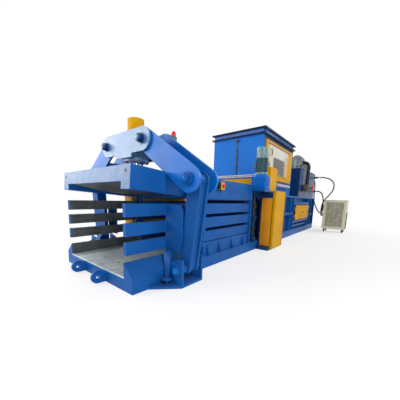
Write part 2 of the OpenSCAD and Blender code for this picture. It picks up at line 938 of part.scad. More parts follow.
module twister_gearbox() {
    color([0.12, 0.34, 0.72]) {
        block(2615, 2890, -1060, -765, shelf_z, 1215);
        block(2640, 2865, -1040, -785, 1214, 1440);
        for (i = [0 : 3])
            block(2630, 2875, -1050, -775, 1240 + i * 48, 1256 + i * 48);
        for (x = [2700, 2790])
            block(x, x + 14, -1050, -775, 1214, 1440);
        bar_z(1439, 1485, motor_x, motor_y, 112);
    }
}

module twister_motor() {
    color([0.38, 0.50, 0.49]) {
        bar_z(1485, 1510, motor_x, motor_y, tying_motor_radius + 12);
        bar_z(1509, 1800, motor_x, motor_y, tying_motor_radius - 12);
        for (a = [0 : 15 : 345])
            translate([motor_x, motor_y, 1520])
                rotate([0, 0, a])
                    translate([tying_motor_radius - 14, -2.5, 0])
                        cube([14, 5, 268]);
        translate([motor_x, motor_y, 1790])
            rotate_extrude()
                polygon([
                    [0, 0],
                    [tying_motor_radius + 4, 0],
                    [tying_motor_radius + 4, tying_motor_top - 1830],
                    [tying_motor_radius - 14, tying_motor_top - 1800],
                    [tying_motor_radius - 50, tying_motor_top - 1790],
                    [0, tying_motor_top - 1790]
                ]);
        block(motor_x - 50, motor_x + 50, motor_y + tying_motor_radius - 20, motor_y + tying_motor_radius + 50,
            1600, 1700);
    }
}

module twister_shaft() {
    color([0.70, 0.71, 0.72]) {
        bar_z(200, shelf_z - 21, shaft_x, shaft_y, twister_shaft_radius);
        for (z = [420, 860])
            bar_z(z, z + 50, shaft_x, shaft_y, twister_shaft_radius + 30);
    }
}

module hydraulic_pipes() {
    color([0.80, 0.81, 0.84]) {
        for (i = [0, 1])
            bar_y(-760, 560, hopper_front - 210 + i * 90, 1500 + i * 45, 20);
        for (y = [-640, 520])
            block(hopper_front - 240, hopper_front - 90, y, y + 30, body_top + 4, 1560);
        bar_x(hopper_front + 800, hopper_rear - 410, -hopper_half - 62, 1385, 48);
        for (x = [hopper_front + 900, hopper_rear - 540])
            block(x, x + 40, -hopper_half - 70, -hopper_half, 1345, 1425);
    }
}

// Hopper

module hopper_shell() {
    x0 = hopper_front + rim_overhang;
    x1 = hopper_rear - rim_overhang;
    w = hopper_wall;
    low = frame_top;
    high = rim_top - rim_height;
    color([0.13, 0.42, 0.80]) {
        difference() {
            block(x0, x1, -hopper_half, hopper_half, low, high);
            block(x0 + w, x1 - w, -hopper_half + w, hopper_half - w, low - 1, high + 1);
            block(door_front + 50, door_rear - 50, -hopper_half - 1, -hopper_half + w + 1, door_low + 40, door_high - 40);
        }
        for (z = [door_low + 80, door_high - 190]) {
            bar_z(z, z + knuckle_height, door_hinge_x, door_hinge_y, 16);
            block(door_hinge_x + 2, door_hinge_x + 60, -hopper_half - 12, -hopper_half + 1, z, z + knuckle_height);
            block(door_hinge_x + 2, door_hinge_x + 14, door_hinge_y, -hopper_half, z, z + knuckle_height);
        }
        bar_z(door_low + 81, door_low + 80 + 2 * knuckle_height, door_hinge_x, door_hinge_y, hinge_pin_radius);
        bar_z(door_high - 190 - knuckle_height, door_high - 189, door_hinge_x, door_hinge_y, hinge_pin_radius);
        both_sides() {
            block(x0, x1 - w, -skin_inner, -hopper_half + w, low - w, low);
            block(x0, x1 - w, -hopper_half, -hopper_half + w, low - w, low + 1);
        }
    }
}

module hopper_rim() {
    low = rim_top - rim_height;
    color([0.16, 0.38, 0.74])
        difference() {
            block(hopper_front, hopper_rear, -rim_half_width, rim_half_width, low, rim_top);
            block(hopper_front + rim_overhang + hopper_wall, hopper_rear - rim_overhang - hopper_wall,
                -hopper_half + hopper_wall, hopper_half - hopper_wall, low - 1, rim_top + 1);
            difference() {
                block(hopper_front - 1, hopper_rear + 1, -rim_half_width - 1, rim_half_width + 1, low + 12,
                    rim_top - 12);
                block(hopper_front + rim_overhang, hopper_rear - rim_overhang, -hopper_half, hopper_half,
                    low + 11, rim_top - 11);
            }
        }
}

module hopper_door() {
    leaf_height = knuckle_height - knuckle_gap;
    leaf_starts = [door_low + 80 + knuckle_height + knuckle_gap, door_high - 190 - knuckle_height];
    back = -hopper_half - 6;
    front = back - 34;
    handle_x = door_front + 210;
    handle_low = door_high - 325;
    color([0.86, 0.63, 0.10])
        difference() {
            union() {
                difference() {
                    block(door_front, door_rear, front, back, door_low, door_high);
                    block(window_front, window_rear, front - 1, back + 1, window_low, window_high);
                    block(door_front + 60, door_rear - 150, front - 1, front + 16, door_high - 78, door_high - 48);
                }
                for (z = leaf_starts) {
                    bar_z(z, z + leaf_height, door_hinge_x, door_hinge_y, 16);
                    block(door_rear - 1, door_hinge_x, door_hinge_y - 8, door_hinge_y + 8, z, z + leaf_height);
                }
                for (z = [handle_low, handle_low + 134])
                    block(handle_x, handle_x + 16, front - 50, front + 1, z, z + 16);
                block(handle_x, handle_x + 16, front - 60, front - 46, handle_low, handle_low + 150);
            }
            for (z = leaf_starts)
                bar_z(z - 1, z + knuckle_height, door_hinge_x, door_hinge_y, hinge_pin_radius + running_gap);
        }
}

module door_window() {
    back = -hopper_half - 20;
    color([0.85, 0.90, 0.88, 0.35])
        block(window_front, window_rear, back - 8, back, window_low, window_high);
}

module hopper_sensor() {
    face = hopper_front + rim_overhang;
    color([0.30, 0.32, 0.36]) {
        block(face - 22, face, -18, 4, 1600, 2330);
        block(face - 60, face, -34, 20, 2329, 2384);
        bar_x(face - 90, face - 59, -7, 2356, 16);
        block(face - 36, face, -28, 14, 1560, 1601);
    }
}

// Press body

module press_side() {
    block(wall_rear, rear_edge, -skin_inner - 12, -skin_inner, rail_height, frame_top);
    block(tying_rear + 10, rear_edge, -base_half_width, -skin_inner, frame_top - 40, frame_top);
    for (x = [tying_rear + 10, 4150, 4640, 5120, access_front - 130, access_rear + 50, rear_edge - 540, rear_edge - 34])
        block(x, x + 34, -base_half_width, -skin_inner - 11, rail_height, frame_top - 39);
    block(tying_rear + 10, access_front - 129, -base_half_width + 4, -skin_inner - 11, 620, 690);
    block(access_front - 97, access_rear + 51, -base_half_width + 4, -skin_inner - 11, access_high + 20,
        access_high + 90);
    block(access_front - 97, access_rear + 51, -base_half_width + 4, -skin_inner - 11, access_low - 90,
        access_low - 20);
    block(access_rear + 83, rear_edge - 33, -base_half_width + 30, -skin_inner - 11, 520, 570);
    block(access_front - 97, access_rear + 51, -base_half_width + 40, -skin_inner - 11, 230, 290);
}

module press_frame() {
    color([0.10, 0.27, 0.56]) {
        difference() {
            both_sides()
                press_side();
            block(access_front + 60, access_rear - 60, -base_half_width, -skin_inner + 1, access_low + 50,
                access_high - 50);
        }
        for (z = [access_low + 60, access_high - 110]) {
            bar_z(z, z + knuckle_height, access_hinge_x, access_hinge_y, 13);
            block(access_hinge_x - 80, access_hinge_x, access_hinge_y + 2, -base_half_width + 1, z,
                z + knuckle_height);
        }
        bar_z(access_low + 61, access_low + 60 + 2 * knuckle_height, access_hinge_x, access_hinge_y,
            hinge_pin_radius);
        bar_z(access_high - 110 - knuckle_height, access_high - 109, access_hinge_x, access_hinge_y,
            hinge_pin_radius);
    }
}

module access_door() {
    leaf_height = knuckle_height - knuckle_gap;
    leaf_starts = [access_low + 60 + knuckle_height + knuckle_gap, access_high - 110 - knuckle_height];
    back = access_hinge_y - 6;
    color([0.84, 0.62, 0.12])
        difference() {
            union() {
                block(access_front, access_rear, back - 14, back, access_low, access_high);
                for (z = leaf_starts) {
                    bar_z(z, z + leaf_height, access_hinge_x, access_hinge_y, 13);
                    block(access_hinge_x, access_front + 40, access_hinge_y - 12, access_hinge_y - 4, z,
                        z + leaf_height);
                }
                for (z = [access_low + 60, access_high - 100])
                    block(access_rear - 30, access_rear + 40, back - 26, back - 13, z, z + 40);
                bar_y(back - 36, back - 13, (access_front + access_rear) / 2, 665, 17);
            }
            for (z = leaf_starts)
                bar_z(z - 1, z + knuckle_height, access_hinge_x, access_hinge_y,
                    hinge_pin_radius + running_gap);
        }
}

module ram() {
    low = floor_top + 5;
    high = chamber_top - 12;
    color([0.34, 0.36, 0.40]) {
        block(ram_face, ram_face + 40, -chamber_half_width + 4, chamber_half_width - 4, low, high);
        block(ram_face + ram_length - 40, ram_face + ram_length, -420, 420, low + 60, high - 60);
        for (y = [-400, -140, 120, 380])
            block(ram_face + 39, ram_face + ram_length - 39, y, y + 20, low + 60, high - 60);
        for (z = [low, high - 20])
            block(ram_face + 39, ram_face + ram_length - 39, -chamber_half_width + 4, chamber_half_width - 4, z,
                z + 20);
        block(ram_face + ram_length - 41, ram_face + ram_travel + ram_deck_rest, -560, 560, high - 16, high);
    }
}

module main_rod() {
    rod_start = ram_face + ram_length;
    color([0.82, 0.83, 0.85]) {
        bar_x(rod_start, barrel_rear - 130, 0, main_axis_z, main_rod_radius);
        bar_x(rod_start, rod_start + 10, 0, main_axis_z, main_rod_radius + 40);
        bar_x(barrel_rear - 131, barrel_rear - 60, 0, main_axis_z, main_barrel_radius - 26);
    }
}

module main_cylinder() {
    color([0.80, 0.58, 0.12])
        difference() {
            union() {
                bar_x(barrel_front, barrel_rear, 0, main_axis_z, main_barrel_radius);
                for (x = [barrel_front + 120, barrel_rear - 300])
                    block(x, x + 120, -150, 150, floor_top, main_axis_z);
                bar_x(barrel_front, barrel_front + 45, 0, main_axis_z, main_barrel_radius + 18);
            }
            bar_x(barrel_front + 44, barrel_rear - 40, 0, main_axis_z, main_barrel_radius - 25);
            bar_x(barrel_front - 1, barrel_front + 45, 0, main_axis_z, main_rod_radius + 1);
        }
}

// Oil unit

module oil_tank() {
    color([0.07, 0.20, 0.50]) {
        difference() {
            union() {
                block(tank_front, tank_rear, -800, 400, frame_top, tank_top);
                block(tank_front - 12, tank_rear + 12, -812, 412, tank_top - 1, tank_top + 12);
            }
            block(tank_front + 10, tank_rear - 10, -790, 390, frame_top + 10, tank_top - 10);
            bar_z(tank_top - 11, tank_top + 13, tank_front + 1410, 0, 40);
        }
        for (x = [tank_front + 670, tank_front + 1390])
            block(x, x + 40, -806, -799, frame_top + 40, tank_top - 60);
        bar_y(-900, -799, tank_rear - 50, tank_top - 100, 34);
        bar_y(-860, -799, tank_rear - 60, tank_top - 600, 30);
        block(tank_rear - 150, tank_rear - 70, -715, -645, tank_top + 11, tank_top + 85);
    }
}

module pump_motors() {
    color([0.30, 0.40, 0.38]) {
        bar_z(tank_top + 12, tank_top + 250, tank_front + 90, -560, 60);
        bar_z(tank_top + 249, tank_top + 290, tank_front + 90, -560, 74);
        bar_x(motor_a_x, motor_a_x + 360, -540, pump_z + 60, 165);
        for (i = [0 : 7])
            bar_x(motor_a_x + 20 + i * 42, motor_a_x + 32 + i * 42, -540, pump_z + 60, 176);
        bar_x(motor_a_x + 359, motor_a_x + 460, -540, pump_z + 60, 110);
        block(valve_x - 60, valve_x + 60, pump_port_y, -560, pump_z - 70, pump_z + 70);
        bar_x(motor_b_x, motor_b_x + 450, -600, pump_z - 60, 150);
        for (i = [0 : 9])
            bar_x(motor_b_x + 20 + i * 42, motor_b_x + 32 + i * 42, -600, pump_z - 60, 160);
        bar_x(motor_b_x + 449, motor_b_x + 540, -600, pump_z - 60, 95);
        for (x = [motor_a_x + 40, motor_a_x + 280])
            block(x, x + 50, -640, -440, tank_top + 12, pump_z);
        for (x = [motor_b_x + 50, motor_b_x + 350])
            block(x, x + 50, -700, -500, tank_top + 12, pump_z - 100);
        bar_z(tank_top + 12, tank_top + 70, tank_front + 1410, 0, 60);
    }
}

module pump_pipe() {
    r = pump_pipe_radius;
    bend = 150;
    color([0.16, 0.17, 0.18]) {
        bar_z(valve_z + 110, pump_z - bend, valve_x, valve_middle, r);
        bar_z(valve_z + 110, valve_z + 136, valve_x, valve_middle, r + 22);
        translate([valve_x, valve_middle + bend, pump_z - bend])
            rotate([90, 0, 270])
                rotate_extrude(angle = 90)
                    translate([bend, 0])
                        circle(r);
        bar_y(valve_middle + bend, pump_port_y, valve_x, pump_z, r);
        bar_y(pump_port_y - 24, pump_port_y, valve_x, pump_z, r + 18);
    }
}

module valve_block() {
    color([0.35, 0.33, 0.28]) {
        block(valve_x - 130, valve_x + 130, -960, -840, valve_z - 100, valve_z + 110);
        bar_y(-841, -812, valve_x, valve_z, 80);
        bar_y(-813, -800, valve_x, valve_z, 96);
        bar_x(valve_x - 190, valve_x - 129, valve_middle, valve_z, 40);
        difference() {
            bar_y(-1000, -959, valve_x + 90, valve_z, 24);
            bar_y(-1001, -961, valve_x + 90, valve_z, 10.05);
        }
    }
}

module handwheel() {
    wheel_x = valve_x + 90;
    wheel_y = -1040;
    color([0.78, 0.10, 0.12]) {
        translate([wheel_x, wheel_y, valve_z])
            rotate([90, 0, 0])
                rotate_extrude()
                    translate([handwheel_radius - 11, 0])
                        circle(11);
        bar_y(-1056, -1024, wheel_x, valve_z, 24);
        for (a = [0, 120, 240])
            translate([wheel_x, wheel_y, valve_z])
                rotate([0, a, 0])
                    translate([0, -6, -7])
                        cube([handwheel_radius - 11, 12, 14]);
        bar_y(-1030, -963, wheel_x, valve_z, 10);
    }
}

// Small fittings

module switch_box() {
    color([0.88, 0.60, 0.10])
        difference() {
            block(1395, 1495, -skin_outer - 70, -skin_outer, 1140, 1248);
            bar_y(-skin_outer - 71, -skin_outer - 30, 1445, 1194, 12.5);
        }
}

module stop_button() {
    color([0.80, 0.08, 0.08]) {
        bar_y(-skin_outer - 84, -skin_outer - 50, 1445, 1194, 12);
        bar_y(-skin_outer - 98, -skin_outer - 80, 1445, 1194, 22);
    }
}

module pressure_valve() {
    face = arch_x + link_half;
    color([0.30, 0.55, 0.55]) {
        block(face, face + 60, -link_pin_y - 122, -link_pin_y - 62, link_pin_z + 20, link_pin_z + 100);
        bar_z(link_pin_z + 99, link_pin_z + 150, face + 32, -link_pin_y - 90, 26);
        bar_z(link_pin_z + 149, link_pin_z + 168, face + 32, -link_pin_y - 90, 16);
    }
}

module far_guard() {
    color([0.86, 0.65, 0.10])
        difference() {
            block(wall_front - 80, wall_rear - 40, skin_outer, skin_outer + 250, rail_height + 40, body_top - 120);
            block(wall_front - 77, wall_rear - 43, skin_outer - 1, skin_outer + 247, rail_height + 43,
                body_top - 123);
        }
}

// Chiller

module chiller_cabinet() {
    color([0.78, 0.77, 0.68])
        difference() {
            union() {
                difference() {
                    block(chiller_front, chiller_front + chiller_depth, chiller_near, chiller_far, chiller_low,
                        chiller_top);
                    block(chiller_front + 20, chiller_front + chiller_depth - 15, chiller_near + 15,
                        chiller_far - 15, chiller_low + 15, chiller_top - 15);
                    block(chiller_front - 1, chiller_front + 21, chiller_near + 60, chiller_far - 60,
                        chiller_low + 70, chiller_top - 60);
                    block(chiller_front + 60, chiller_front + 120, chiller_near - 1, chiller_near + 16,
                        chiller_low + 60, chiller_low + 560);
                }
                for (i = [0 : 23])
                    block(chiller_front + 6, chiller_front + 14, chiller_near + 59, chiller_far - 59,
                        chiller_low + 72 + i * 33, chiller_low + 94 + i * 33);
                for (y = [chiller_near + 300, chiller_near + 420])
                    block(chiller_front + 6, chiller_front + 20, y, y + 14, chiller_low + 69, chiller_top - 59);
                hose_elbow(7300, 600, 1);
                hose_elbow(7420, 540, 1);
                hose_elbow(7540, 890, -1);
                for (y = [chiller_near + 60, chiller_far - 60])
                    rigid_fork(chiller_front + chiller_depth - 90, y);
            }
            for (y = [chiller_near + 60, chiller_far - 60])
                bar_z(chiller_low - 1, chiller_low + 12, chiller_front + 90, y, 10.05);
        }
}

module fork_cheeks(x, y, offset) {
    for (side = [-1, 1])
        difference() {
            plate_xz(y + side * 21 - 3, y + side * 21 + 3)
                polygon([
                    [x - 30, chiller_low - 26],
                    [x + 30, chiller_low - 26],
                    [x + offset + 14, caster_radius - 14],
                    [x + offset - 14, caster_radius - 14]
                ]);
            bar_y(y + side * 21 - 4, y + side * 21 + 4, x + offset, caster_radius, 6.05);
        }
}

// Fitting on the far side of the cabinet, turned up or down
module hose_elbow(x, z, way) {
    bar_y(chiller_far - 1, hose_y, x, z, 26);
    bar_z(min(z, z + way * 60), max(z, z + way * 60), x, hose_y, 26);
    translate([x, hose_y, z])
        sphere(26);
}

module rigid_fork(x, y) {
    fork_cheeks(x, y, 0);
    block(x - 35, x + 35, y - 30, y + 30, chiller_low - 27, chiller_low + 1);
}

module swivel_fork(y) {
    x = chiller_front + 90;
    color([0.45, 0.46, 0.47]) {
        fork_cheeks(x, y, 22);
        block(x - 32, x + 32, y - 28, y + 28, chiller_low - 27, chiller_low - 18);
        bar_z(chiller_low - 19, chiller_low - 2, x, y, 26);
        bar_z(chiller_low - 3, chiller_low + 10, x, y, 10);
    }
}

module caster_wheel(x, y) {
    color([0.08, 0.08, 0.08]) {
        bar_y(y - 14, y + 14, x, caster_radius, caster_radius);
        bar_y(y - 27, y + 27, x, caster_radius, 6);
    }
}

module front_left_caster() {
    swivel_fork(chiller_far - 60);
}

module front_right_caster() {
    swivel_fork(chiller_near + 60);
}

module front_left_wheel() {
    caster_wheel(chiller_front + 112, chiller_far - 60);
}

module front_right_wheel() {
    caster_wheel(chiller_front + 112, chiller_near + 60);
}

module rear_left_wheel() {
    caster_wheel(chiller_front + chiller_depth - 90, chiller_far - 60);
}

module rear_right_wheel() {
    caster_wheel(chiller_front + chiller_depth - 90, chiller_near + 60);
}

// Hoses

// Point of a smooth curve through the route, at t counted in route points
function curve_point(p, t) =
    let (
        n = len(p),
        i = min(floor(t), n - 2),
        u = t - i,
        a = p[max(i - 1, 0)],
        b = p[i],
        c = p[i + 1],
        d = p[min(i + 2, n - 1)]
    )
    0.5 * (2 * b + (c - a) * u + (2 * a - 5 * b + 4 * c - d) * u * u + (3 * b - a - 3 * c + d) * u * u * u);

function unit(v) = v / norm(v);

// Direction of the curve near t, square to the fitting at each end
function curve_way(p, t) =
    t < 0.01 ? unit(p[1] - p[0]) :
    t > len(p) - 1.01 ? unit(p[len(p) - 1] - p[len(p) - 2]) :
    unit(curve_point(p, t + 0.02) - curve_point(p, t - 0.02));

// One ring of points around the curve
function ring(p, t, r, sides) =
    let (
        w = curve_way(p, t),
        s = unit(cross(w, hose_side)),
        q = cross(w, s)
    )
    [for (k = [0 : sides - 1]) curve_point(p, t) + r * (cos(k * 360 / sides) * s + sin(k * 360 / sides) * q)];

module hose(p, steps) {
    sides = 10;
    count = (len(p) - 1) * steps;
    points = [for (j = [0 : count]) each ring(p, j / steps, hose_radius, sides)];
    walls = [
        for (j = [0 : count - 1], k = [0 : sides - 1])
            [j * sides + k, j * sides + (k + 1) % sides, (j + 1) * sides + (k + 1) % sides, (j + 1) * sides + k]
    ];
    first = [for (k = [sides - 1 : -1 : 0]) k];
    last = [for (k = [0 : sides - 1]) count * sides + k];
    polyhedron(points = points, faces = concat([first], walls, [last]), convexity = 6);
}

upper_hose_route = [[7880, -900, 1890], [7880, -1010, 1890], [7840, -1160, 1870], [7740, -1330, 1795],
    [7620, -1450, 1670], [7520, -1490, 1530], [7430, -1475, 1385], [7360, -1405, 1245], [7315, -1310, 1105],
    [7300, -1245, 960], [7300, -1225, 810], [7300, -1225, 660]];
lower_hose_route = [[7870, -860, 1390], [7870, -970, 1390], [7800, -1080, 1330], [7690, -1155, 1220],
    [7580, -1205, 1080], [7480, -1228, 920], [7420, -1225, 750], [7420, -1225, 600]];
drain_hose_route = [[7860, -680, 2040], [7960, -680, 2040], [8070, -705, 1975], [8125, -750, 1830],
    [8135, -785, 1640], [8135, -790, 1420], [8135, -795, 1200], [8138, -825, 990], [8090, -910, 800],
    [7960, -1010, 665], [7800, -1115, 605], [7640, -1195, 640], [7540, -1225, 735], [7540, -1225, 830]];

module upper_hose() {
    color([0.07, 0.07, 0.08])
        hose(upper_hose_route, 2);
}

module lower_hose() {
    color([0.07, 0.07, 0.08])
        hose(lower_hose_route, 2);
}

module drain_hose() {
    color([0.07, 0.07, 0.08])
        hose(drain_hose_route, 2);
}

base_frame();
cross_members();
floor_plate();
curb_liners();
frame_pins();
near_chamber_wall();
far_chamber_wall();
chamber_roof();
near_side_panel();
far_side_panel();
near_panel_liners();
far_panel_liners();
mouth_platen();
platen_liner();
near_post();
far_post();
near_arm();
far_arm();
near_post_pin();
far_post_pin();
link_beam();
link_pins();
squeeze_cylinder();
squeeze_rod();
tying_frame();
tying_covers();
tying_top_guard();
twister_gearbox();
twister_motor();
twister_shaft();
hydraulic_pipes();
hopper_shell();
hopper_rim();
hopper_door();
door_window();
hopper_sensor();
press_frame();
access_door();
ram();
main_rod();
main_cylinder();
oil_tank();
pump_motors();
pump_pipe();
valve_block();
handwheel();
switch_box();
stop_button();
pressure_valve();
far_guard();
chiller_cabinet();
front_left_caster();
front_right_caster();
front_left_wheel();
front_right_wheel();
rear_left_wheel();
rear_right_wheel();
upper_hose();
lower_hose();
drain_hose();
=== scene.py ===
"""Horizontal baler: finishes, fine parts, floor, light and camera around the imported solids.

Lengths are metres. X runs from the discharge mouth to the rear, Y across, Z up. Near is negative Y.
"""

import logging
import math
from dataclasses import dataclass
from enum import Enum
from itertools import product
from typing import Iterable, Optional, Sequence, Union

import bmesh
import bpy
from mathutils import Matrix, Vector


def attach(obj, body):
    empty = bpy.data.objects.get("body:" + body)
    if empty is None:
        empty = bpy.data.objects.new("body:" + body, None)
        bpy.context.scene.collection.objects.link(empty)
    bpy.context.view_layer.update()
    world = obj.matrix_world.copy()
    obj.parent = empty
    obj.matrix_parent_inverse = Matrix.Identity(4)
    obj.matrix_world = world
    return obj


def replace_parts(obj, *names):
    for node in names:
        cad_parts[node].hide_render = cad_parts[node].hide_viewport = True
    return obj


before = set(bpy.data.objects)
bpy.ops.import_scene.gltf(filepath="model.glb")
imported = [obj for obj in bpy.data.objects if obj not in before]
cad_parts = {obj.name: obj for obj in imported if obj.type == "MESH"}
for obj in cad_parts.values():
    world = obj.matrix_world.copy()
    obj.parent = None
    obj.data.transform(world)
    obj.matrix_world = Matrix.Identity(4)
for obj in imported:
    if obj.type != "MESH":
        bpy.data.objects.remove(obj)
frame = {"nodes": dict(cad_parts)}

LOG = logging.getLogger("baler")
Point = Sequence[float]
Socket = bpy.types.NodeSocket
Setting = Union[float, int, bool, str, tuple, Socket]

SIDES = (-1, 1)
# Edges that turn by more than this many radians are bevelled.
SHARP_EDGE = 0.6
# Refraction of acrylic sheet.
ACRYLIC_IOR = 1.49
# A bolt's washer thickness, washer radius, head height and top radius, as shares of its hexagon's width.
WASHER_THICK, WASHER_RADIUS, HEAD_TALL, HEAD_TOP = 0.12, 0.62, 0.40, 0.47
# How much a weld bead swells and narrows from ripple to ripple.
RIPPLE = 1.18
# Points of a turned part closer than this are one point.
SAME_POINT = 1e-6


class Body(Enum):
    """Bodies of the frame that new pieces ride on."""

    FRAME = "frame"
    PLATEN = "platen"
    NEAR_POST = "near_post_body"
    FAR_POST = "far_post_body"
    LINK = "link"
    NEAR_PANEL = "near_panel"
    FAR_PANEL = "far_panel"
    HOPPER_DOOR = "hopper_door_body"
    ACCESS_DOOR = "access_door_body"


class Axis(Enum):
    """Directions along which round parts are laid."""

    X = (1.0, 0.0, 0.0)
    Y = (0.0, 1.0, 0.0)
    Z = (0.0, 0.0, 1.0)
    BACK_X = (-1.0, 0.0, 0.0)
    BACK_Y = (0.0, -1.0, 0.0)
    DOWN = (0.0, 0.0, -1.0)

    def vector(self) -> Vector:
        """Return the direction as a vector."""
        return Vector(self.value)


# ---------------------------------------------------------------- materials


def linear(code: str) -> tuple:
    """Turn an sRGB hex colour of six digits to linear red, green, blue and alpha."""
    values = [int(code[i : i + 2], 16) / 255 for i in (0, 2, 4)]
    return tuple(v / 12.92 if v <= 0.04045 else ((v + 0.055) / 1.055) ** 2.4 for v in values) + (1.0,)


def per_metre(size_mm: float) -> float:
    """Return the texture scale that makes a pattern's features about size_mm across."""
    return 1000.0 / size_mm


def empty_tree(owner: Union[bpy.types.Material, bpy.types.World]) -> bpy.types.NodeTree:
    """Switch on the nodes of a material or world and return its emptied tree."""
    owner.use_nodes = True
    owner.node_tree.nodes.clear()
    return owner.node_tree


def feed(tree: bpy.types.NodeTree, node: bpy.types.Node, inputs: dict) -> None:
    """Set or link a node's inputs, given by name or number."""
    for name, value in inputs.items():
        if isinstance(value, Socket):
            tree.links.new(value, node.inputs[name])
        else:
            node.inputs[name].default_value = value


def add_node(
    tree: bpy.types.NodeTree, kind: str, inputs: Optional[dict] = None, **settings: Setting
) -> bpy.types.Node:
    """Add one node with its settings and links.

    Args:
        tree: The node tree it goes into.
        kind: The node's type name, without its prefix.
        inputs: Values or output sockets by input name or number.
        **settings: Properties set on the node itself.

    Returns:
        The new node.
    """
    node = tree.nodes.new("ShaderNode" + kind)
    for name, value in settings.items():
        setattr(node, name, value)
    feed(tree, node, inputs or {})
    return node


def ramp(tree: bpy.types.NodeTree, factor: Socket, stops: Sequence[tuple]) -> Socket:
    """Add a colour ramp.

    Args:
        tree: The node tree it goes into.
        factor: The socket that drives it.
        stops: Pairs of position and linear colour, in rising order.

    Returns:
        The ramp's colour output.
    """
    node = add_node(tree, "ValToRGB", {"Fac": factor})
    elements = node.color_ramp.elements
    while len(elements) < len(stops):
        elements.new(0.5)
    for element, (position, colour) in zip(elements, stops):
        element.position = position
        element.color = colour
    return node.outputs["Color"]


def greys(tree: bpy.types.NodeTree, factor: Socket, low: tuple, high: tuple) -> Socket:
    """Add a ramp between two greys, each given as its position and its value."""
    return ramp(tree, factor, [(position, (value, value, value, 1)) for position, value in (low, high)])


def noise(
    tree: bpy.types.NodeTree, place: Socket, size_mm: float, detail: float, roughness: float = 0.5
) -> Socket:
    """Add a noise whose features are about size_mm across."""
    inputs = {"Vector": place, "Scale": per_metre(size_mm), "Detail": detail, "Roughness": roughness}
    return add_node(tree, "TexNoise", inputs).outputs["Fac"]


def spread(tree: bpy.types.NodeTree, value: Socket, ends: tuple, levels: tuple = (0.0, 1.0)) -> Socket:
    """Map a value from its first and last end to two levels, and hold it beyond."""
    names = ("From Min", "From Max", "To Min", "To Max")
    inputs = {"Value": value, **dict(zip(names, (*ends, *levels)))}
    return add_node(tree, "MapRange", inputs).outputs["Result"]


def maths(tree: bpy.types.NodeTree, operation: str, first: Setting, second: Setting) -> Socket:
    """Combine two values by an operation."""
    return add_node(tree, "Math", {0: first, 1: second}, operation=operation).outputs["Value"]


def mix(
    tree: bpy.types.NodeTree, factor: Setting, first: Setting, second: Setting, blend: str = "MIX"
) -> Socket:
    """Mix two colours; the colour inputs of the node are its sixth and seventh."""
    inputs = {"Factor": factor, 6: first, 7: second}
    return add_node(tree, "Mix", inputs, data_type="RGBA", blend_type=blend).outputs[2]


def bump(tree: bpy.types.NodeTree, height: Socket, strength: float, distance: float) -> Socket:
    """Turn a height pattern to a bump."""
    inputs = {"Strength": strength, "Distance": distance, "Height": height}
    return add_node(tree, "Bump", inputs).outputs["Normal"]


@dataclass(frozen=True)
class Finish:
    """What every surface has: a name, a main colour and a roughness."""

    name: str
    colour: str
    roughness: float

    def inputs(self, tree: bpy.types.NodeTree, place: Socket) -> dict:
        """Return the shader's inputs, made from the object coordinates."""
        raise NotImplementedError

    def build(self) -> bpy.types.Material:
        """Build the material."""
        material = bpy.data.materials.new(self.name)
        tree = empty_tree(material)
        shader = add_node(tree, "BsdfPrincipled", {"Roughness": self.roughness})
        add_node(tree, "OutputMaterial", {"Surface": shader.outputs["BSDF"]}, is_active_output=True)
        feed(tree, shader, self.inputs(tree, add_node(tree, "TexCoord").outputs["Object"]))
        return material


@dataclass(frozen=True)
class Enamel(Finish):
    """Sprayed machine enamel over welded plate.

    The eye sees an even, slightly cloudy colour, soft reflections with a fine orange peel, and a film of
    dust that gathers on level faces.
    """

    shade: str = "16386F"
    dust: str = "8C8D88"
    dust_share: float = 0.12
    dust_mm: float = 90.0
    cloud_mm: float = 420.0
    peel_mm: float = 7.0
    peel: float = 0.05
    peel_depth: float = 0.0015
    dust_gain: float = 1.7
    specular: float = 0.16

    def inputs(self, tree: bpy.types.NodeTree, place: Socket) -> dict:
        """Return two tones, a dust film by the face's slope, and an orange-peel bump."""
        main = linear(self.colour)
        cloud = noise(tree, place, self.cloud_mm, 3.0, 0.55)
        tone = ramp(tree, cloud, [(0.30, linear(self.shade)), (0.62, main), (1.0, main)])
        normal = add_node(tree, "NewGeometry").outputs["Normal"]
        up = add_node(tree, "SeparateXYZ", {"Vector": normal}).outputs["Z"]
        level = spread(tree, up, (0.55, 1.0), (0.0, self.dust_share))
        speck = noise(tree, place, self.dust_mm, 5.0, 0.7)
        film = maths(tree, "MULTIPLY", maths(tree, "MULTIPLY", level, speck), self.dust_gain)
        peel = noise(tree, place, self.peel_mm, 1.0)
        return {
            "Base Color": mix(tree, film, tone, linear(self.dust)),
            "Roughness": spread(tree, speck, (0.3, 0.8), (self.roughness - 0.05, self.roughness + 0.10)),
            "Specular IOR Level": self.specular,
            "Normal": bump(tree, peel, self.peel, self.peel_depth),
        }


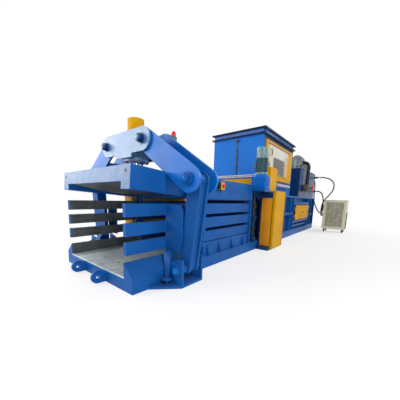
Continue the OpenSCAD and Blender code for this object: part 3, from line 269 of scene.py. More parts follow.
@dataclass(frozen=True)
class WornSteel(Finish):
    """Bare rolled steel rubbed by bales.

    The eye sees a warm grey sheet with long fine scratches along the travel and darker scale left between.
    """

    scale_colour: str = "3A3B3B"
    metallic: float = 0.55
    scratch_mm: float = 9.0
    scratch_length: float = 40.0
    scratch_depth: float = 0.0008
    blotch_mm: float = 260.0

    def inputs(self, tree: bpy.types.NodeTree, place: Socket) -> dict:
        """Return mill-scale blotches and scratches stretched along X."""
        stretch = add_node(tree, "Mapping", {"Vector": place, "Scale": (1.0 / self.scratch_length, 1.0, 1.0)})
        scratch = noise(tree, stretch.outputs["Vector"], self.scratch_mm, 4.0)
        blotch = noise(tree, place, self.blotch_mm, 6.0, 0.65)
        tone = ramp(tree, blotch, [(0.36, linear(self.scale_colour)), (0.56, linear(self.colour))])
        fine = greys(tree, scratch, (0.38, 0.72), (0.62, 1.12))
        return {
            "Base Color": mix(tree, 1.0, tone, fine, "MULTIPLY"),
            "Metallic": self.metallic,
            "Roughness": spread(tree, scratch, (0.3, 0.7), (self.roughness + 0.10, self.roughness - 0.08)),
            "Normal": bump(tree, scratch, 0.15, self.scratch_depth),
        }


@dataclass(frozen=True)
class PlainMetal(Finish):
    """Plated, ground or cast metal.

    Plated and ground metal is bright with a faint grind; cast iron is dull and grainy.
    """

    second: str
    metallic: float = 1.0
    grain_mm: float = 3.0
    grain: float = 0.12
    grain_depth: float = 0.0006
    stretch: tuple = (1.0, 1.0, 1.0)

    def inputs(self, tree: bpy.types.NodeTree, place: Socket) -> dict:
        """Return two near tones and a grain that is drawn out along the grind."""
        drawn = add_node(tree, "Mapping", {"Vector": place, "Scale": self.stretch}).outputs["Vector"]
        grain = noise(tree, drawn, self.grain_mm, 3.0)
        return {
            "Base Color": ramp(tree, grain, [(0.35, linear(self.second)), (0.65, linear(self.colour))]),
            "Metallic": self.metallic,
            "Normal": bump(tree, grain, self.grain, self.grain_depth),
        }


@dataclass(frozen=True)
class Rubber(Finish):
    """Black rubber of hoses, wheels and seals: matt, with a faint moulded or wrapped texture."""

    grain_mm: float = 4.0
    grain_depth: float = 0.0005
    bloom_mm: float = 60.0
    dust: str = "55534E"

    def inputs(self, tree: bpy.types.NodeTree, place: Socket) -> dict:
        """Return grey bloom over black and a fine bump."""
        bloom = noise(tree, place, self.bloom_mm, 4.0, 0.6)
        fine = add_node(tree, "TexVoronoi", {"Vector": place, "Scale": per_metre(self.grain_mm)})
        return {
            "Base Color": ramp(tree, bloom, [(0.45, linear(self.colour)), (0.95, linear(self.dust))]),
            "Normal": bump(tree, fine.outputs["Distance"], 0.2, self.grain_depth),
        }


@dataclass(frozen=True)
class ClearSheet(Finish):
    """Acrylic window sheet: clear, faintly tinted, with a dusty haze that catches the light."""

    haze: float = 0.40
    dusty: str = "C9CBBE"
    cloud_mm: float = 350.0

    def inputs(self, tree: bpy.types.NodeTree, place: Socket) -> dict:
        """Return a see-through shader's inputs under a patchy haze."""
        cloud = noise(tree, place, self.cloud_mm, 5.0, 0.6)
        return {
            "Base Color": ramp(tree, cloud, [(0.30, linear(self.dusty)), (0.75, linear(self.colour))]),
            "IOR": ACRYLIC_IOR,
            "Alpha": spread(tree, cloud, (0.3, 0.7), (self.haze - 0.05, self.haze + 0.05)),
        }


@dataclass(frozen=True)
class GlareShadeSheet(Finish):
    """Clear acrylic cover sheet over the window side of the door.

    Its colour paints a pale glare over most of it, which thins out towards its rear lower corner, and a dark
    patch of painted shade low in the middle, where the hopper's shade shows through.
    """

    # The haze level is the alpha of the painted glare.
    haze: float = 0.50
    dark: str = "4F4E47"
    frame: str = "C08C12"
    patch: tuple = (3.94, 4.69, 1.65, 2.00)
    edge: float = 0.03
    cloud_mm: float = 300.0

    def inputs(self, tree: bpy.types.NodeTree, place: Socket) -> dict:
        """Return a dark patch of painted shade over a pale painted glare, with a cloudy alpha."""
        split = add_node(tree, "SeparateXYZ", {"Vector": place})
        x, z = split.outputs["X"], split.outputs["Z"]
        x0, x1, z0, z1 = self.patch
        edge = self.edge
        shade_patch_mask = spread(tree, x, (x0 - edge, x0))
        for value, ends in ((x, (x1 + edge, x1)), (z, (z0 - edge, z0)), (z, (z1 + edge, z1))):
            shade_patch_mask = maths(tree, "MULTIPLY", shade_patch_mask, spread(tree, value, ends))
        behind = spread(tree, x, (x1 + edge, x1 + 3 * edge))
        rear = maths(tree, "MULTIPLY", behind, spread(tree, z, (z1 + 0.16, z1 - 0.12)))
        # The pale main colour is painted glare; the dark patch colour is painted shade.
        tone = ramp(tree, shade_patch_mask, [(0.0, linear(self.colour)), (1.0, linear(self.dark))])
        tone = mix(tree, rear, tone, linear(self.frame))
        cloud = noise(tree, place, self.cloud_mm, 4.0, 0.6)
        shade = ramp(tree, cloud, [(0.30, (0.88, 0.88, 0.84, 1)), (0.70, (1.0, 1.0, 1.0, 1))])
        # The painted glare thins out towards the rear lower corner.
        thin = spread(tree, maths(tree, "SUBTRACT", z, x), (-3.15, -2.55), (0.06, self.haze))
        alpha = maths(tree, "MAXIMUM", maths(tree, "MULTIPLY", shade_patch_mask, 0.62), thin)
        return {
            "Base Color": mix(tree, 1.0, tone, shade, "MULTIPLY"),
            "IOR": ACRYLIC_IOR,
            "Alpha": maths(tree, "MAXIMUM", alpha, rear),
        }


@dataclass(frozen=True)
class Mesh(Finish):
    """Woven wire filter cloth behind the chiller's front: a beige grey weave with dark holes."""

    wire_mm: float = 9.0
    weave_depth: float = 0.001
    blotch_mm: float = 120.0
    hole: str = "6C6A5A"

    def inputs(self, tree: bpy.types.NodeTree, place: Socket) -> dict:
        """Return two crossed wave patterns, drawn coarser than the real cloth to show."""
        wave = {"Vector": place, "Scale": per_metre(self.wire_mm) / math.tau, "Distortion": 0.4}
        bands = [add_node(tree, "TexWave", wave, bands_direction=way).outputs["Fac"] for way in ("Y", "Z")]
        both = maths(tree, "MAXIMUM", *bands)
        tone = ramp(tree, both, [(0.45, linear(self.hole)), (0.8, linear(self.colour))])
        dusty = greys(tree, noise(tree, place, self.blotch_mm, 4.0), (0.35, 0.75), (0.7, 1.1))
        return {
            "Base Color": mix(tree, 1.0, tone, dusty, "MULTIPLY"),
            "Normal": bump(tree, both, 0.5, self.weave_depth),
        }


class Paint(Enum):
    """The finishes of the machine."""

    # Sprayed two-pack enamel of the steelwork: deep blue, even, half gloss.
    BLUE = Enamel("machine_blue_enamel", "135195", 0.36, shade="0F4786", dust_share=0.06, specular=0.10)
    # Fresher enamel of hopper and gearbox: clear bright blue with little gloss.
    BRIGHT_BLUE = Enamel("hopper_blue_enamel", "0463B8", 0.38, shade="035DAE", specular=0.09)
    # Dark enamel of tank, tying frame and nuts, partly painted shade: darkened to match their shaded faces
    # and the recess round the tying frame. Almost black in shade, shines where it grazes the light.
    NAVY = Enamel("navy_enamel", "0A3463", 0.34, shade="072A54", specular=0.30)
    # Enamel of the link plate that faces the light: its colour greyed and paled as a painted reflection, over
    # a real broad glossy reflection.
    GLARE_PALED_BLUE = Enamel("link_painted_glare_enamel", "44709A", 0.40, shade="3E6A94", specular=0.70)
    # The platen's front beam: the same enamel, paled and streaked as a painted glare.
    GLARE_STREAKED_BLUE = Enamel(
        "platen_painted_glare_enamel", "3F6593", 0.42, shade="5C7593", cloud_mm=170.0, specular=0.25
    )
    # Guard enamel: warm strong yellow, matt enough to keep its colour in the light.
    YELLOW = Enamel(
        "guard_yellow_enamel", "BF8E04", 0.40, shade="B58003", dust="9A8F74", dust_share=0.08, specular=0.06
    )
    # The tying unit's front cover: the same yellow enamel, darkened to a browner tone as painted shade.
    SHADED_YELLOW = Enamel("cover_painted_shade_enamel", "D08A22", 0.40, shade="C47F1C", dust="9A8760", specular=0.06)
    # Handwheel enamel: signal red with a soft shine.
    RED = Enamel("valve_red_enamel", "C42A2C", 0.32, shade="A82024", dust="8F7570")
    # Cast fan cowl under grey-green hammer enamel, glossy; painted paler than the finned body as painted
    # light.
    MOTOR_GREEN = Enamel(
        "motor_grey_green_enamel", "557577", 0.34, shade="4A696C", dust="7C7F7C", specular=0.45
    )
    # The same enamel on the finned body, painted darker as the shade between the fins.
    MOTOR_SHADED = Enamel("motor_painted_shade_enamel", "40606A", 0.40, shade="35525C")
    # Rim channel enamel: blue that pales along its length where it reflects the room.
    RIM_BLUE = Enamel("rim_blue_enamel", "12529A", 0.34, shade="0E4788", specular=0.30)
    # Painted shade: blue-black strips along the rim's flange edges and on the walls under the rim, without
    # shine.
    PAINTED_SHADE = Enamel("rim_painted_shade_enamel", "041730", 0.45, shade="031228", dust_share=0.02, specular=0.08)
    # Enamel of the arms: lighter than the frame, with a soft sheen on its broad plates.
    ARM_BLUE = Enamel("arm_blue_enamel", "0462B7", 0.38, shade="045BAB", specular=0.20)
    # Pump motors' grey enamel: neutral, a little dusty.
    PUMP_GREY = Enamel("pump_motor_grey_enamel", "8D9694", 0.36, shade="747E7E", dust="A9AAA6")
    # Valve body enamel: dull teal.
    TEAL = Enamel("valve_teal_enamel", "2F6E6C", 0.40, shade="265C5B")
    # Sensor housing: dark grey enamel.
    GREY = Enamel("sensor_grey_enamel", "4A5058", 0.40, shade="3B4047")
    # Chiller cabinet: baked powder coat, warm pale grey with a visible orange peel.
    BEIGE = Enamel("cabinet_beige_powder_coat", "CFCBB4", 0.50, shade="C4C0A8", dust="A8A493", peel=0.12)
    # Suction pipe: black stove enamel with a soft line of light along it.
    BLACK = Enamel("pipe_black_enamel", "26292B", 0.36, shade="1C1E20")
    # Rolled floor plate polished by bales: pale cool grey with long scratches.
    FLOOR_STEEL = WornSteel("floor_plate_steel", "C4CED0", 0.46, scale_colour="A4AEB2", metallic=0.25)
    # Wear plates: darker rolled steel that keeps its mill scale.
    LINER_STEEL = WornSteel("wear_plate_steel", "50555A", 0.55, scale_colour="3E4244", metallic=0.15)
    # Ram plate: mid grey, scuffed.
    RAM_STEEL = WornSteel("ram_plate_steel", "5C5E60", 0.50, scale_colour="44474A")
    # Ground and plated rod: mirror-bright with a fine lay of grinding.
    CHROME = PlainMetal("ground_chrome", "D6D8DC", 0.14, "C8CBD0", stretch=(0.1, 1.0, 1.0), grain=0.03)
    # Plated fittings: bright grey, slightly cloudy.
    ZINC = PlainMetal("bright_zinc", "A9AEB6", 0.34, "8F959E")
    # Drawn tube under clear lacquer: grey, drawn lines, a dull shine.
    PIPE = PlainMetal("drawn_pipe_steel", "A3A8BC", 0.44, "757C92", metallic=0.35, stretch=(0.1, 0.1, 0.1))
    # Sand-cast valve block: brown-grey and grainy.
    IRON = PlainMetal("cast_iron", "6A6558", 0.55, "4F4B41", metallic=0.6, grain=0.5, grain_mm=5.0)
    # Blackened fasteners: near black with a metal glint.
    BOLT = PlainMetal("blackened_bolt", "3A3D42", 0.42, "2B2E33", metallic=0.8)
    # Hose cover: black rubber, greyed by bloom.
    HOSE = Rubber("hose_cover_rubber", "17181A", 0.55)
    # Caster tyres: matt black rubber.
    WHEEL = Rubber("tyre_rubber", "1B1B1C", 0.62)
    # Gaskets and seams: black rubber without light; the same black stands as painted shade in the cowls' air
    # slots and the door's top groove.
    SEAL = Rubber("gasket_rubber", "141415", 0.6)
    # Window pane: acrylic with a pale dusty haze.
    WINDOW = ClearSheet("window_sheet", "DEDFD2", 0.10)
    # Cover sheet over the pane: a painted pale glare above, and a dark patch of painted shade low in the
    # middle.
    COVER_SHEET = GlareShadeSheet("window_cover_sheet", "E4E4D8", 0.12)
    # Woven wire cloth of the chiller's filter.
    FILTER = Mesh("filter_cloth", "ABA894", 0.8)
    # Moulded button and cap: clear red plastic.
    PLASTIC_RED = Enamel("moulded_red_plastic", "CE2A24", 0.30, shade="BE221E", dust="B86A60", peel=0.02)
    # Moulded vent plastic: dull black, close to no sheen.
    PLASTIC_BLACK = Enamel(
        "moulded_black_plastic", "0C0D0B", 0.70, shade="121310", dust="3A3A38", specular=0.02
    )

    def material(self) -> bpy.types.Material:
        """Return the finish's material, built the first time it is asked for."""
        if self not in BUILT:
            BUILT[self] = self.value.build()
        return BUILT[self]


# Materials built so far, by finish.
BUILT: dict = {}

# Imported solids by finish.
SOLIDS = {
    Paint.BLUE: "base_frame cross_members near_chamber_wall far_chamber_wall chamber_roof near_side_panel"
    " far_side_panel mouth_platen near_post far_post press_frame near_post_pin far_post_pin frame_pins",
    Paint.ARM_BLUE: "near_arm far_arm",
    Paint.RIM_BLUE: "hopper_rim",
    Paint.BRIGHT_BLUE: "hopper_shell twister_gearbox",
    Paint.NAVY: "tying_frame oil_tank link_pins",
    Paint.GLARE_PALED_BLUE: "link_beam",
    Paint.YELLOW: "tying_covers tying_top_guard hopper_door access_door squeeze_cylinder main_cylinder"
    " switch_box far_guard",
    Paint.FLOOR_STEEL: "floor_plate",
    Paint.LINER_STEEL: "curb_liners near_panel_liners far_panel_liners platen_liner",
    Paint.RAM_STEEL: "ram",
    Paint.CHROME: "squeeze_rod main_rod",
    Paint.PIPE: "hydraulic_pipes",
    Paint.BOLT: "twister_shaft front_left_caster front_right_caster",
    Paint.MOTOR_SHADED: "twister_motor",
    Paint.PUMP_GREY: "pump_motors",
    Paint.TEAL: "pressure_valve",
    Paint.BLACK: "pump_pipe",
    Paint.IRON: "valve_block",
    Paint.RED: "handwheel",
    Paint.PLASTIC_RED: "stop_button",
    Paint.GREY: "hopper_sensor",
    Paint.WINDOW: "door_window",
    Paint.BEIGE: "chiller_cabinet",
    Paint.WHEEL: "front_left_wheel front_right_wheel rear_left_wheel rear_right_wheel",
}


def dress() -> None:
    """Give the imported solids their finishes."""
    for paint, nodes in SOLIDS.items():
        for node in nodes.split():
            data = bpy.data.objects[node].data
            data.materials.clear()
            data.materials.append(paint.material())
            LOG.info("%s is finished in %s", node, paint.value.name)


# ---------------------------------------------------------------- modelling


def add_object(name: str, data: Optional[bpy.types.ID]) -> bpy.types.Object:
    """Make an object of some data and link it to the scene."""
    item = bpy.data.objects.new(name, data)
    bpy.context.scene.collection.objects.link(item)
    return item


def facing(way: Vector) -> Matrix:
    """Return the rotation that turns Z to a direction."""
    return way.to_track_quat("Z", "Y").to_matrix().to_4x4()


def ring(count: int, radius: float, first: float = 0.0) -> list:
    """Return points evenly round a circle, as pairs.

    Args:
        count: How many points.
        radius: The circle's radius.
        first: Angle of the first point in degrees.

    Returns:
        Pairs of the offsets along the circle's two axes.
    """
    angles = [math.radians(first) + math.tau * k / count for k in range(count)]
    return [(radius * math.cos(a), radius * math.sin(a)) for a in angles]


class Piece:
    """One modelled piece: a mesh under way, its finish and the body it rides on.

    Each method that adds a shape returns the piece itself.
    """

    def __init__(self, name: str, paint: Paint, body: Body = Body.FRAME) -> None:
        """Start an empty piece.

        Args:
            name: The object's name.
            paint: Its finish.
            body: The body that carries it.
        """
        self.name = name
        self.paint = paint
        self.body = body
        self.mesh = bmesh.new()

    def round_edges(self, verts: Iterable[bmesh.types.BMVert], width: float) -> None:
        """Round the sharp edges among verts."""
        if width <= 0:
            return
        chosen = set(verts)
        among = [e for e in self.mesh.edges if chosen.issuperset(e.verts) and len(e.link_faces) == 2]
        sharp = [e for e in among if e.calc_face_angle(0.0) > SHARP_EDGE]
        bmesh.ops.bevel(
            self.mesh,
            geom=sharp,
            offset=width,
            offset_type="OFFSET",
            segments=2,
            profile=0.5,
            affect="EDGES",
            material=-1,
        )

    def block(self, low: Point, high: Point, edge: float = 0.0) -> "Piece":
        """Add a block between two corners, its edges rounded to a width."""
        low, high = Vector(low), Vector(high)
        verts = bmesh.ops.create_cube(self.mesh, size=1.0)["verts"]
        bmesh.ops.scale(self.mesh, vec=high - low, verts=verts)
        bmesh.ops.translate(self.mesh, vec=(low + high) / 2, verts=verts)
        self.round_edges(verts, edge)
        return self

    def border(self, low: Point, high: Point, width: float, edge: float = 0.0) -> "Piece":
        """Add four strips that frame an upright sheet.

        Args:
            low: The low outer corner.
            high: The high outer corner.
            width: Width of the strips.
            edge: Width of the edge rounding.

        Returns:
            The piece itself.
        """
        x0, y0, z0 = low
        x1, y1, z1 = high
        self.block(low, (x1, y1, z0 + width), edge)
        self.block((x0, y0, z1 - width), high, edge)
        a, b = z0 + width, z1 - width
        if x1 - x0 > y1 - y0:
            self.block((x0, y0, a), (x0 + width, y1, b), edge)
            return self.block((x1 - width, y0, a), (x1, y1, b), edge)
        self.block((x0, y0, a), (x1, y0 + width, b), edge)
        return self.block((x0, y1 - width, a), (x1, y1, b), edge)

    def bar(
        self,
        start: Point,
        end: Point,
        radius: float,
        sides: int = 24,
        edge: float = 0.0,
        tip: Optional[float] = None,
    ) -> "Piece":
        """Add a round bar, cone or prism between two points.

        Args:
            start: Centre of the first end.
            end: Centre of the other end.
            radius: Radius at the start.
            sides: Number of flats around it.
            edge: Width of the rounding of its end edges.
            tip: Radius at the end, if it differs.

        Returns:
            The piece itself.
        """
        start, end = Vector(start), Vector(end)
        verts = bmesh.ops.create_cone(
            self.mesh,
            cap_ends=True,
            segments=sides,
            radius1=radius,
            radius2=radius if tip is None else tip,
            depth=(end - start).length,
            matrix=Matrix.Translation((start + end) / 2) @ facing(end - start),
        )["verts"]
        self.round_edges(verts, edge)
        return self

    def rod(self, place: tuple, ends: tuple, radius: float, sides: int = 24, edge: float = 0.0) -> "Piece":
        """Add a bar that lies along X between two ends, at a place across and up."""
        return self.bar((ends[0], *place), (ends[1], *place), radius, sides, edge)

    def turned(self, profile: Sequence[tuple], centre: Point, axis: Axis, sides: int = 32) -> "Piece":
        """Add a turned part by spinning a profile.

        Args:
            profile: Pairs of radius and distance along the axis. It starts and ends on the axis, or closes
                on itself.
            centre: Where the axis starts.
            axis: The direction of the axis.
            sides: Number of steps of the spin.

        Returns:
            The piece itself.
        """
        verts = [self.mesh.verts.new((r, 0.0, h)) for r, h in profile]
        edges = [self.mesh.edges.new(pair) for pair in zip(verts, verts[1:])]
        if profile[0][0] > 0 and profile[-1][0] > 0:
            edges.append(self.mesh.edges.new((verts[-1], verts[0])))
        before = set(self.mesh.faces)
        bmesh.ops.spin(
            self.mesh,
            geom=verts + edges,
            cent=(0, 0, 0),
            axis=(0, 0, 1),
            angle=math.tau,
            steps=sides,
            use_merge=True,
            use_normal_flip=False,
            use_duplicate=False,
        )
        spun = list({v for f in self.mesh.faces if f not in before for v in f.verts})
        bmesh.ops.remove_doubles(self.mesh, verts=spun, dist=SAME_POINT)
        made = [f for f in self.mesh.faces if f not in before]
        bmesh.ops.recalc_face_normals(self.mesh, faces=made)
        spun = list({v for f in made for v in f.verts})
        place = Matrix.Translation(Vector(centre)) @ facing(axis.vector())
        bmesh.ops.transform(self.mesh, matrix=place, verts=spun)
        return self

    def bolts(self, seats: Iterable[Point], axis: Axis, across: float, washer: bool = True) -> "Piece":
        """Add hexagon heads.

        Args:
            seats: Where each lies on the surface.
            axis: The direction in which the heads point.
            across: Width of the hexagon across its corners.
            washer: Whether there is a washer under each.

        Returns:
            The piece itself.
        """
        way = axis.vector()
        for seat in seats:
            head = Vector(seat)
            if washer:
                head = head + way * across * WASHER_THICK
                self.bar(seat, head, across * WASHER_RADIUS, sides=16)
            self.bar(head, head + way * across * HEAD_TALL, across / 2, sides=6, tip=across * HEAD_TOP)
        return self

    def weld(self, start: Point, end: Point, width: float, bead: float = 0.014) -> "Piece":
        """Lay a rippled weld bead along a straight seam.

        Args:
            start: Start of the seam.
            end: End of the seam.
            width: Width of the bead.
            bead: Distance between two ripples.

        Returns:
            The piece itself.
        """
        centre, way = Vector(start), Vector(end) - Vector(start)
        rings = max(2, min(60, int(way.length / bead)))
        verts = bmesh.ops.create_circle(self.mesh, cap_ends=True, segments=6, radius=width / 2)["verts"]
        bmesh.ops.transform(self.mesh, matrix=Matrix.Translation(centre) @ facing(way), verts=verts)
        face = verts[0].link_faces[0]
        for i in range(2 * rings):
            result = bmesh.ops.extrude_face_region(self.mesh, geom=[face])["geom"]
            grown = [v for v in result if isinstance(v, bmesh.types.BMVert)]
            face = next(f for f in result if isinstance(f, bmesh.types.BMFace))
            bmesh.ops.translate(self.mesh, vec=way / (2 * rings), verts=grown)
            centre = centre + way / (2 * rings)
            size = RIPPLE if i % 2 == 0 else 1 / RIPPLE
            bmesh.ops.scale(self.mesh, vec=(size, size, size), verts=grown, space=Matrix.Translation(-centre))
        return self

    def done(self, smooth: float = 32.0) -> bpy.types.Object:
        """Finish the piece: make its object, give it its finish and put it on its body.

        Args:
            smooth: Edges flatter than this many degrees are shaded smooth.

        Returns:
            The new object.
        """
        data = bpy.data.meshes.new(self.name)
        for edge in self.mesh.edges:
            edge.smooth = len(edge.link_faces) == 2 and edge.calc_face_angle(0.0) < math.radians(smooth)
        for face in self.mesh.faces:
            face.smooth = True
        self.mesh.to_mesh(data)
        self.mesh.free()
        item = add_object(self.name, data)
        data.materials.append(self.paint.material())
        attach(item, self.body.value)
        LOG.info("%s: %d faces on %s", self.name, len(data.polygons), self.body.value)
        return item


# ---------------------------------------------------------------- hoses


@dataclass(frozen=True)
class Hose:
    """A rubber oil hose between the tank and the chiller, hanging along its route, given in millimetres."""

    name: str
    node: str
    route: tuple
    radius: float = 0.020
    steps: int = 6
    nut: float = 0.012
    crimps: int = 5

    def curve_point(self, t: float) -> tuple:
        """Return the point of the smooth curve at t, counted in route points."""
        points = [Vector(p) / 1000.0 for p in self.route]
        i = min(int(t), len(points) - 2)
        u = t - i
        a, b = points[max(i - 1, 0)], points[i]
        c, d = points[i + 1], points[min(i + 2, len(points) - 1)]
        bend = (c - a) * u + (2 * a - 5 * b + 4 * c - d) * u * u + (3 * b - a - 3 * c + d) * u * u * u
        return tuple(0.5 * (2 * b + bend))

    def line(self) -> list:
        """Return the points that the hose follows, as plain tuples."""
        count = (len(self.route) - 1) * self.steps
        return [self.curve_point(j / self.steps) for j in range(count + 1)]

    def ferrule(self, name: str, end: Point, beyond: Point) -> bpy.types.Object:
        """Make the crimped metal sleeve at one end of the hose.

        Args:
            name: The sleeve's name.
            end: Where the hose meets its fitting.
            beyond: The next point of the hose.

        Returns:
            The sleeve's object.
        """
        piece = Piece(name, Paint.ZINC)
        end = Vector(end)
        way = (Vector(beyond) - end).normalized()
        piece.bar(end, end + way * self.nut, 0.028, sides=6)
        for i in range(self.crimps):
            start = end + way * (self.nut + i * 0.016)
            piece.bar(start, start + way * 0.013, self.radius + 0.0055, sides=20, edge=0.0012)
            piece.bar(start + way * 0.012, start + way * 0.017, self.radius + 0.0030, sides=20)
        return piece.done()

    def build(self) -> None:
        line = self.line()
        data = bpy.data.curves.new(self.name, "CURVE")
        data.dimensions = "3D"
        data.bevel_depth = self.radius
        data.bevel_resolution = 4
        data.use_fill_caps = True
        spline = data.splines.new("POLY")
        spline.points.add(len(line) - 1)
        for point, place in zip(spline.points, line):
            point.co = (*place, 1.0)
        spline.use_smooth = True
        item = add_object(self.name, data)
        data.materials.append(Paint.HOSE.material())
        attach(item, Body.FRAME.value)
        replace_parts(item, self.node)
        sleeves = [
            self.ferrule(self.name + "_tank_sleeve", line[0], line[1]),
            self.ferrule(self.name + "_chiller_sleeve", line[-1], line[-2]),
        ]


UPPER_ROUTE = (
    *((7880, -900, 1890), (7880, -1010, 1890), (7840, -1160, 1870), (7740, -1330, 1795)),
    *((7620, -1450, 1670), (7520, -1490, 1530), (7430, -1475, 1385), (7360, -1405, 1245)),
    *((7315, -1310, 1105), (7300, -1245, 960), (7300, -1225, 810), (7300, -1225, 660)),
)
LOWER_ROUTE = (
    *((7870, -860, 1390), (7870, -970, 1390), (7800, -1080, 1330), (7690, -1155, 1220)),
    *((7580, -1205, 1080), (7480, -1228, 920), (7420, -1225, 750), (7420, -1225, 600)),
)
DRAIN_ROUTE = (
    *((7860, -680, 2040), (7960, -680, 2040), (8070, -705, 1975), (8125, -750, 1830), (8135, -785, 1640)),
    *((8135, -790, 1420), (8135, -795, 1200), (8138, -825, 990), (8090, -910, 800), (7960, -1010, 665)),
    *((7800, -1115, 605), (7640, -1195, 640), (7540, -1225, 735), (7540, -1225, 830)),
)
HOSES = (
    Hose("upper_oil_hose", "upper_hose", UPPER_ROUTE),
    Hose("lower_oil_hose", "lower_hose", LOWER_ROUTE),
    Hose("drain_oil_hose", "drain_hose", DRAIN_ROUTE),
)


# ---------------------------------------------------------------- studio

# Name, place, target, width and height, and power of each soft light.
LAMPS = (
    ("key_light", (-1.5, -7.5, 6.5), (2.6, -0.3, 0.9), (6.0, 4.5), 540.0),
    ("front_fill", (-6.0, -10.0, 1.8), (1.5, -0.5, 0.9), (4.0, 2.4), 330.0),
    ("mouth_light", (-6.0, 3.0, 4.0), (0.4, 0.0, 1.3), (3.4, 3.2), 260.0),
    ("window_light", (-6.5, 10.5, 4.2), (0.4, 0.0, 1.3), (9.0, 4.4), 900.0),
    ("rear_light", (10.5, -6.5, 6.0), (6.0, -0.8, 1.0), (5.0, 4.0), 420.0),
    ("far_light", (3.5, 7.5, 6.5), (3.0, 0.5, 0.8), (7.0, 4.0), 500.0),
)


@dataclass(frozen=True)
class Studio:
    """Floor, lights and the camera at the photograph's viewing angle."""

    camera_place: tuple = (-1.241, -2.627, 1.0)
    yaw: float = math.radians(40.11)
    pitch: float = math.radians(8.56)
    roll: float = math.radians(1.50)
    focal_px: float = 212.4
    centre_px: tuple = (193.3, 230.7)
    side_px: int = 400
    sensor: float = 36.0
    floor_size: float = 60.0
    floor_middle: tuple = (3.6, -0.2, 0.0)
    ambient: float = 0.30

    def camera(self) -> None:
        """Make the camera and set it as the scene's."""
        data = bpy.data.cameras.new("camera")
        data.sensor_width = self.sensor
        data.lens = self.sensor * self.focal_px / self.side_px
        data.shift_x = (self.side_px / 2 - self.centre_px[0]) / self.side_px
        data.shift_y = (self.centre_px[1] - self.side_px / 2) / self.side_px
        data.clip_start = 0.05
        data.clip_end = 200.0
        item = add_object("camera", data)
        flat = math.cos(self.pitch)
        ahead = Vector((math.cos(self.yaw) * flat, math.sin(self.yaw) * flat, -math.sin(self.pitch)))
        level = Vector((math.sin(self.yaw), -math.cos(self.yaw), 0.0))
        up = level.cross(ahead)
        c, s = math.cos(self.roll), math.sin(self.roll)
        matrix = Matrix((level * c + up * s, up * c - level * s, -ahead)).transposed().to_4x4()
        matrix.translation = Vector(self.camera_place)
        item.matrix_world = matrix
        bpy.context.scene.camera = item

    def soft_box(self, name: str, place: Point, target: Point, size: tuple, watts: float) -> None:
        """Hang one large soft light.

        Args:
            name: The lamp's name.
            place: Where it hangs.
            target: What it points at.
            size: Its width and height.
            watts: Its power.
        """
        data = bpy.data.lights.new(name, "AREA")
        data.shape = "RECTANGLE"
        data.size, data.size_y = size
        data.energy = watts
        item = add_object(name, data)
        item.location = place
        item.rotation_euler = (Vector(target) - Vector(place)).to_track_quat("-Z", "Y").to_euler()

    def seen(self, tree: bpy.types.NodeTree) -> Socket:
        """Return a socket that is 1 for camera, glossy and transmission rays."""
        path = add_node(tree, "LightPath").outputs
        direct = maths(tree, "MAXIMUM", path["Is Camera Ray"], path["Is Glossy Ray"])
        return maths(tree, "MAXIMUM", direct, path["Is Transmission Ray"])

    def floor(self) -> None:
        """Lay the pale floor, which keeps the object's shadow and turns white away from it."""
        mesh = bmesh.new()
        bmesh.ops.create_grid(mesh, x_segments=1, y_segments=1, size=self.floor_size)
        data = bpy.data.meshes.new("studio_floor")
        mesh.to_mesh(data)
        mesh.free()
        item = add_object("studio_floor", data)
        material = bpy.data.materials.new("studio_floor")
        tree = empty_tree(material)
        matt = add_node(tree, "BsdfDiffuse", {"Color": linear("F2F2F2")}).outputs["BSDF"]
        glow = add_node(tree, "Emission", {"Color": linear("FFFFFF"), "Strength": 1.0}).outputs["Emission"]
        place = add_node(tree, "TexCoord").outputs["Object"]
        shift = tuple(-v for v in self.floor_middle)
        away = add_node(tree, "Mapping", {"Vector": place, "Location": shift}).outputs["Vector"]
        reach = add_node(tree, "VectorMath", {0: away}, operation="LENGTH").outputs["Value"]
        far = spread(tree, reach, (4.5, 7.5), (0.60, 1.0))
        share = maths(tree, "MULTIPLY", self.seen(tree), far)
        surface = add_node(tree, "MixShader", {0: share, 1: matt, 2: glow}).outputs["Shader"]
        add_node(tree, "OutputMaterial", {"Surface": surface})
        data.materials.append(material)

    def world(self) -> None:
        """Set the even studio surround."""
        world = bpy.data.worlds.new("studio")
        bpy.context.scene.world = world
        tree = empty_tree(world)
        strength = spread(tree, self.seen(tree), (0.0, 1.0), (self.ambient, 1.0))
        sky = add_node(tree, "Background", {"Color": linear("FFFFFF"), "Strength": strength})
        add_node(tree, "OutputWorld", {"Surface": sky.outputs["Background"]})

    def build(self) -> None:
        """Build floor, surround and lights."""
        self.floor()
        self.world()
        for lamp in LAMPS:
            self.soft_box(*lamp)
        bpy.context.scene.view_settings.view_transform = "Standard"


# ---------------------------------------------------------------- the machine

# Fields hold the sizes that a class uses more than once; a place that occurs once stands in its method.


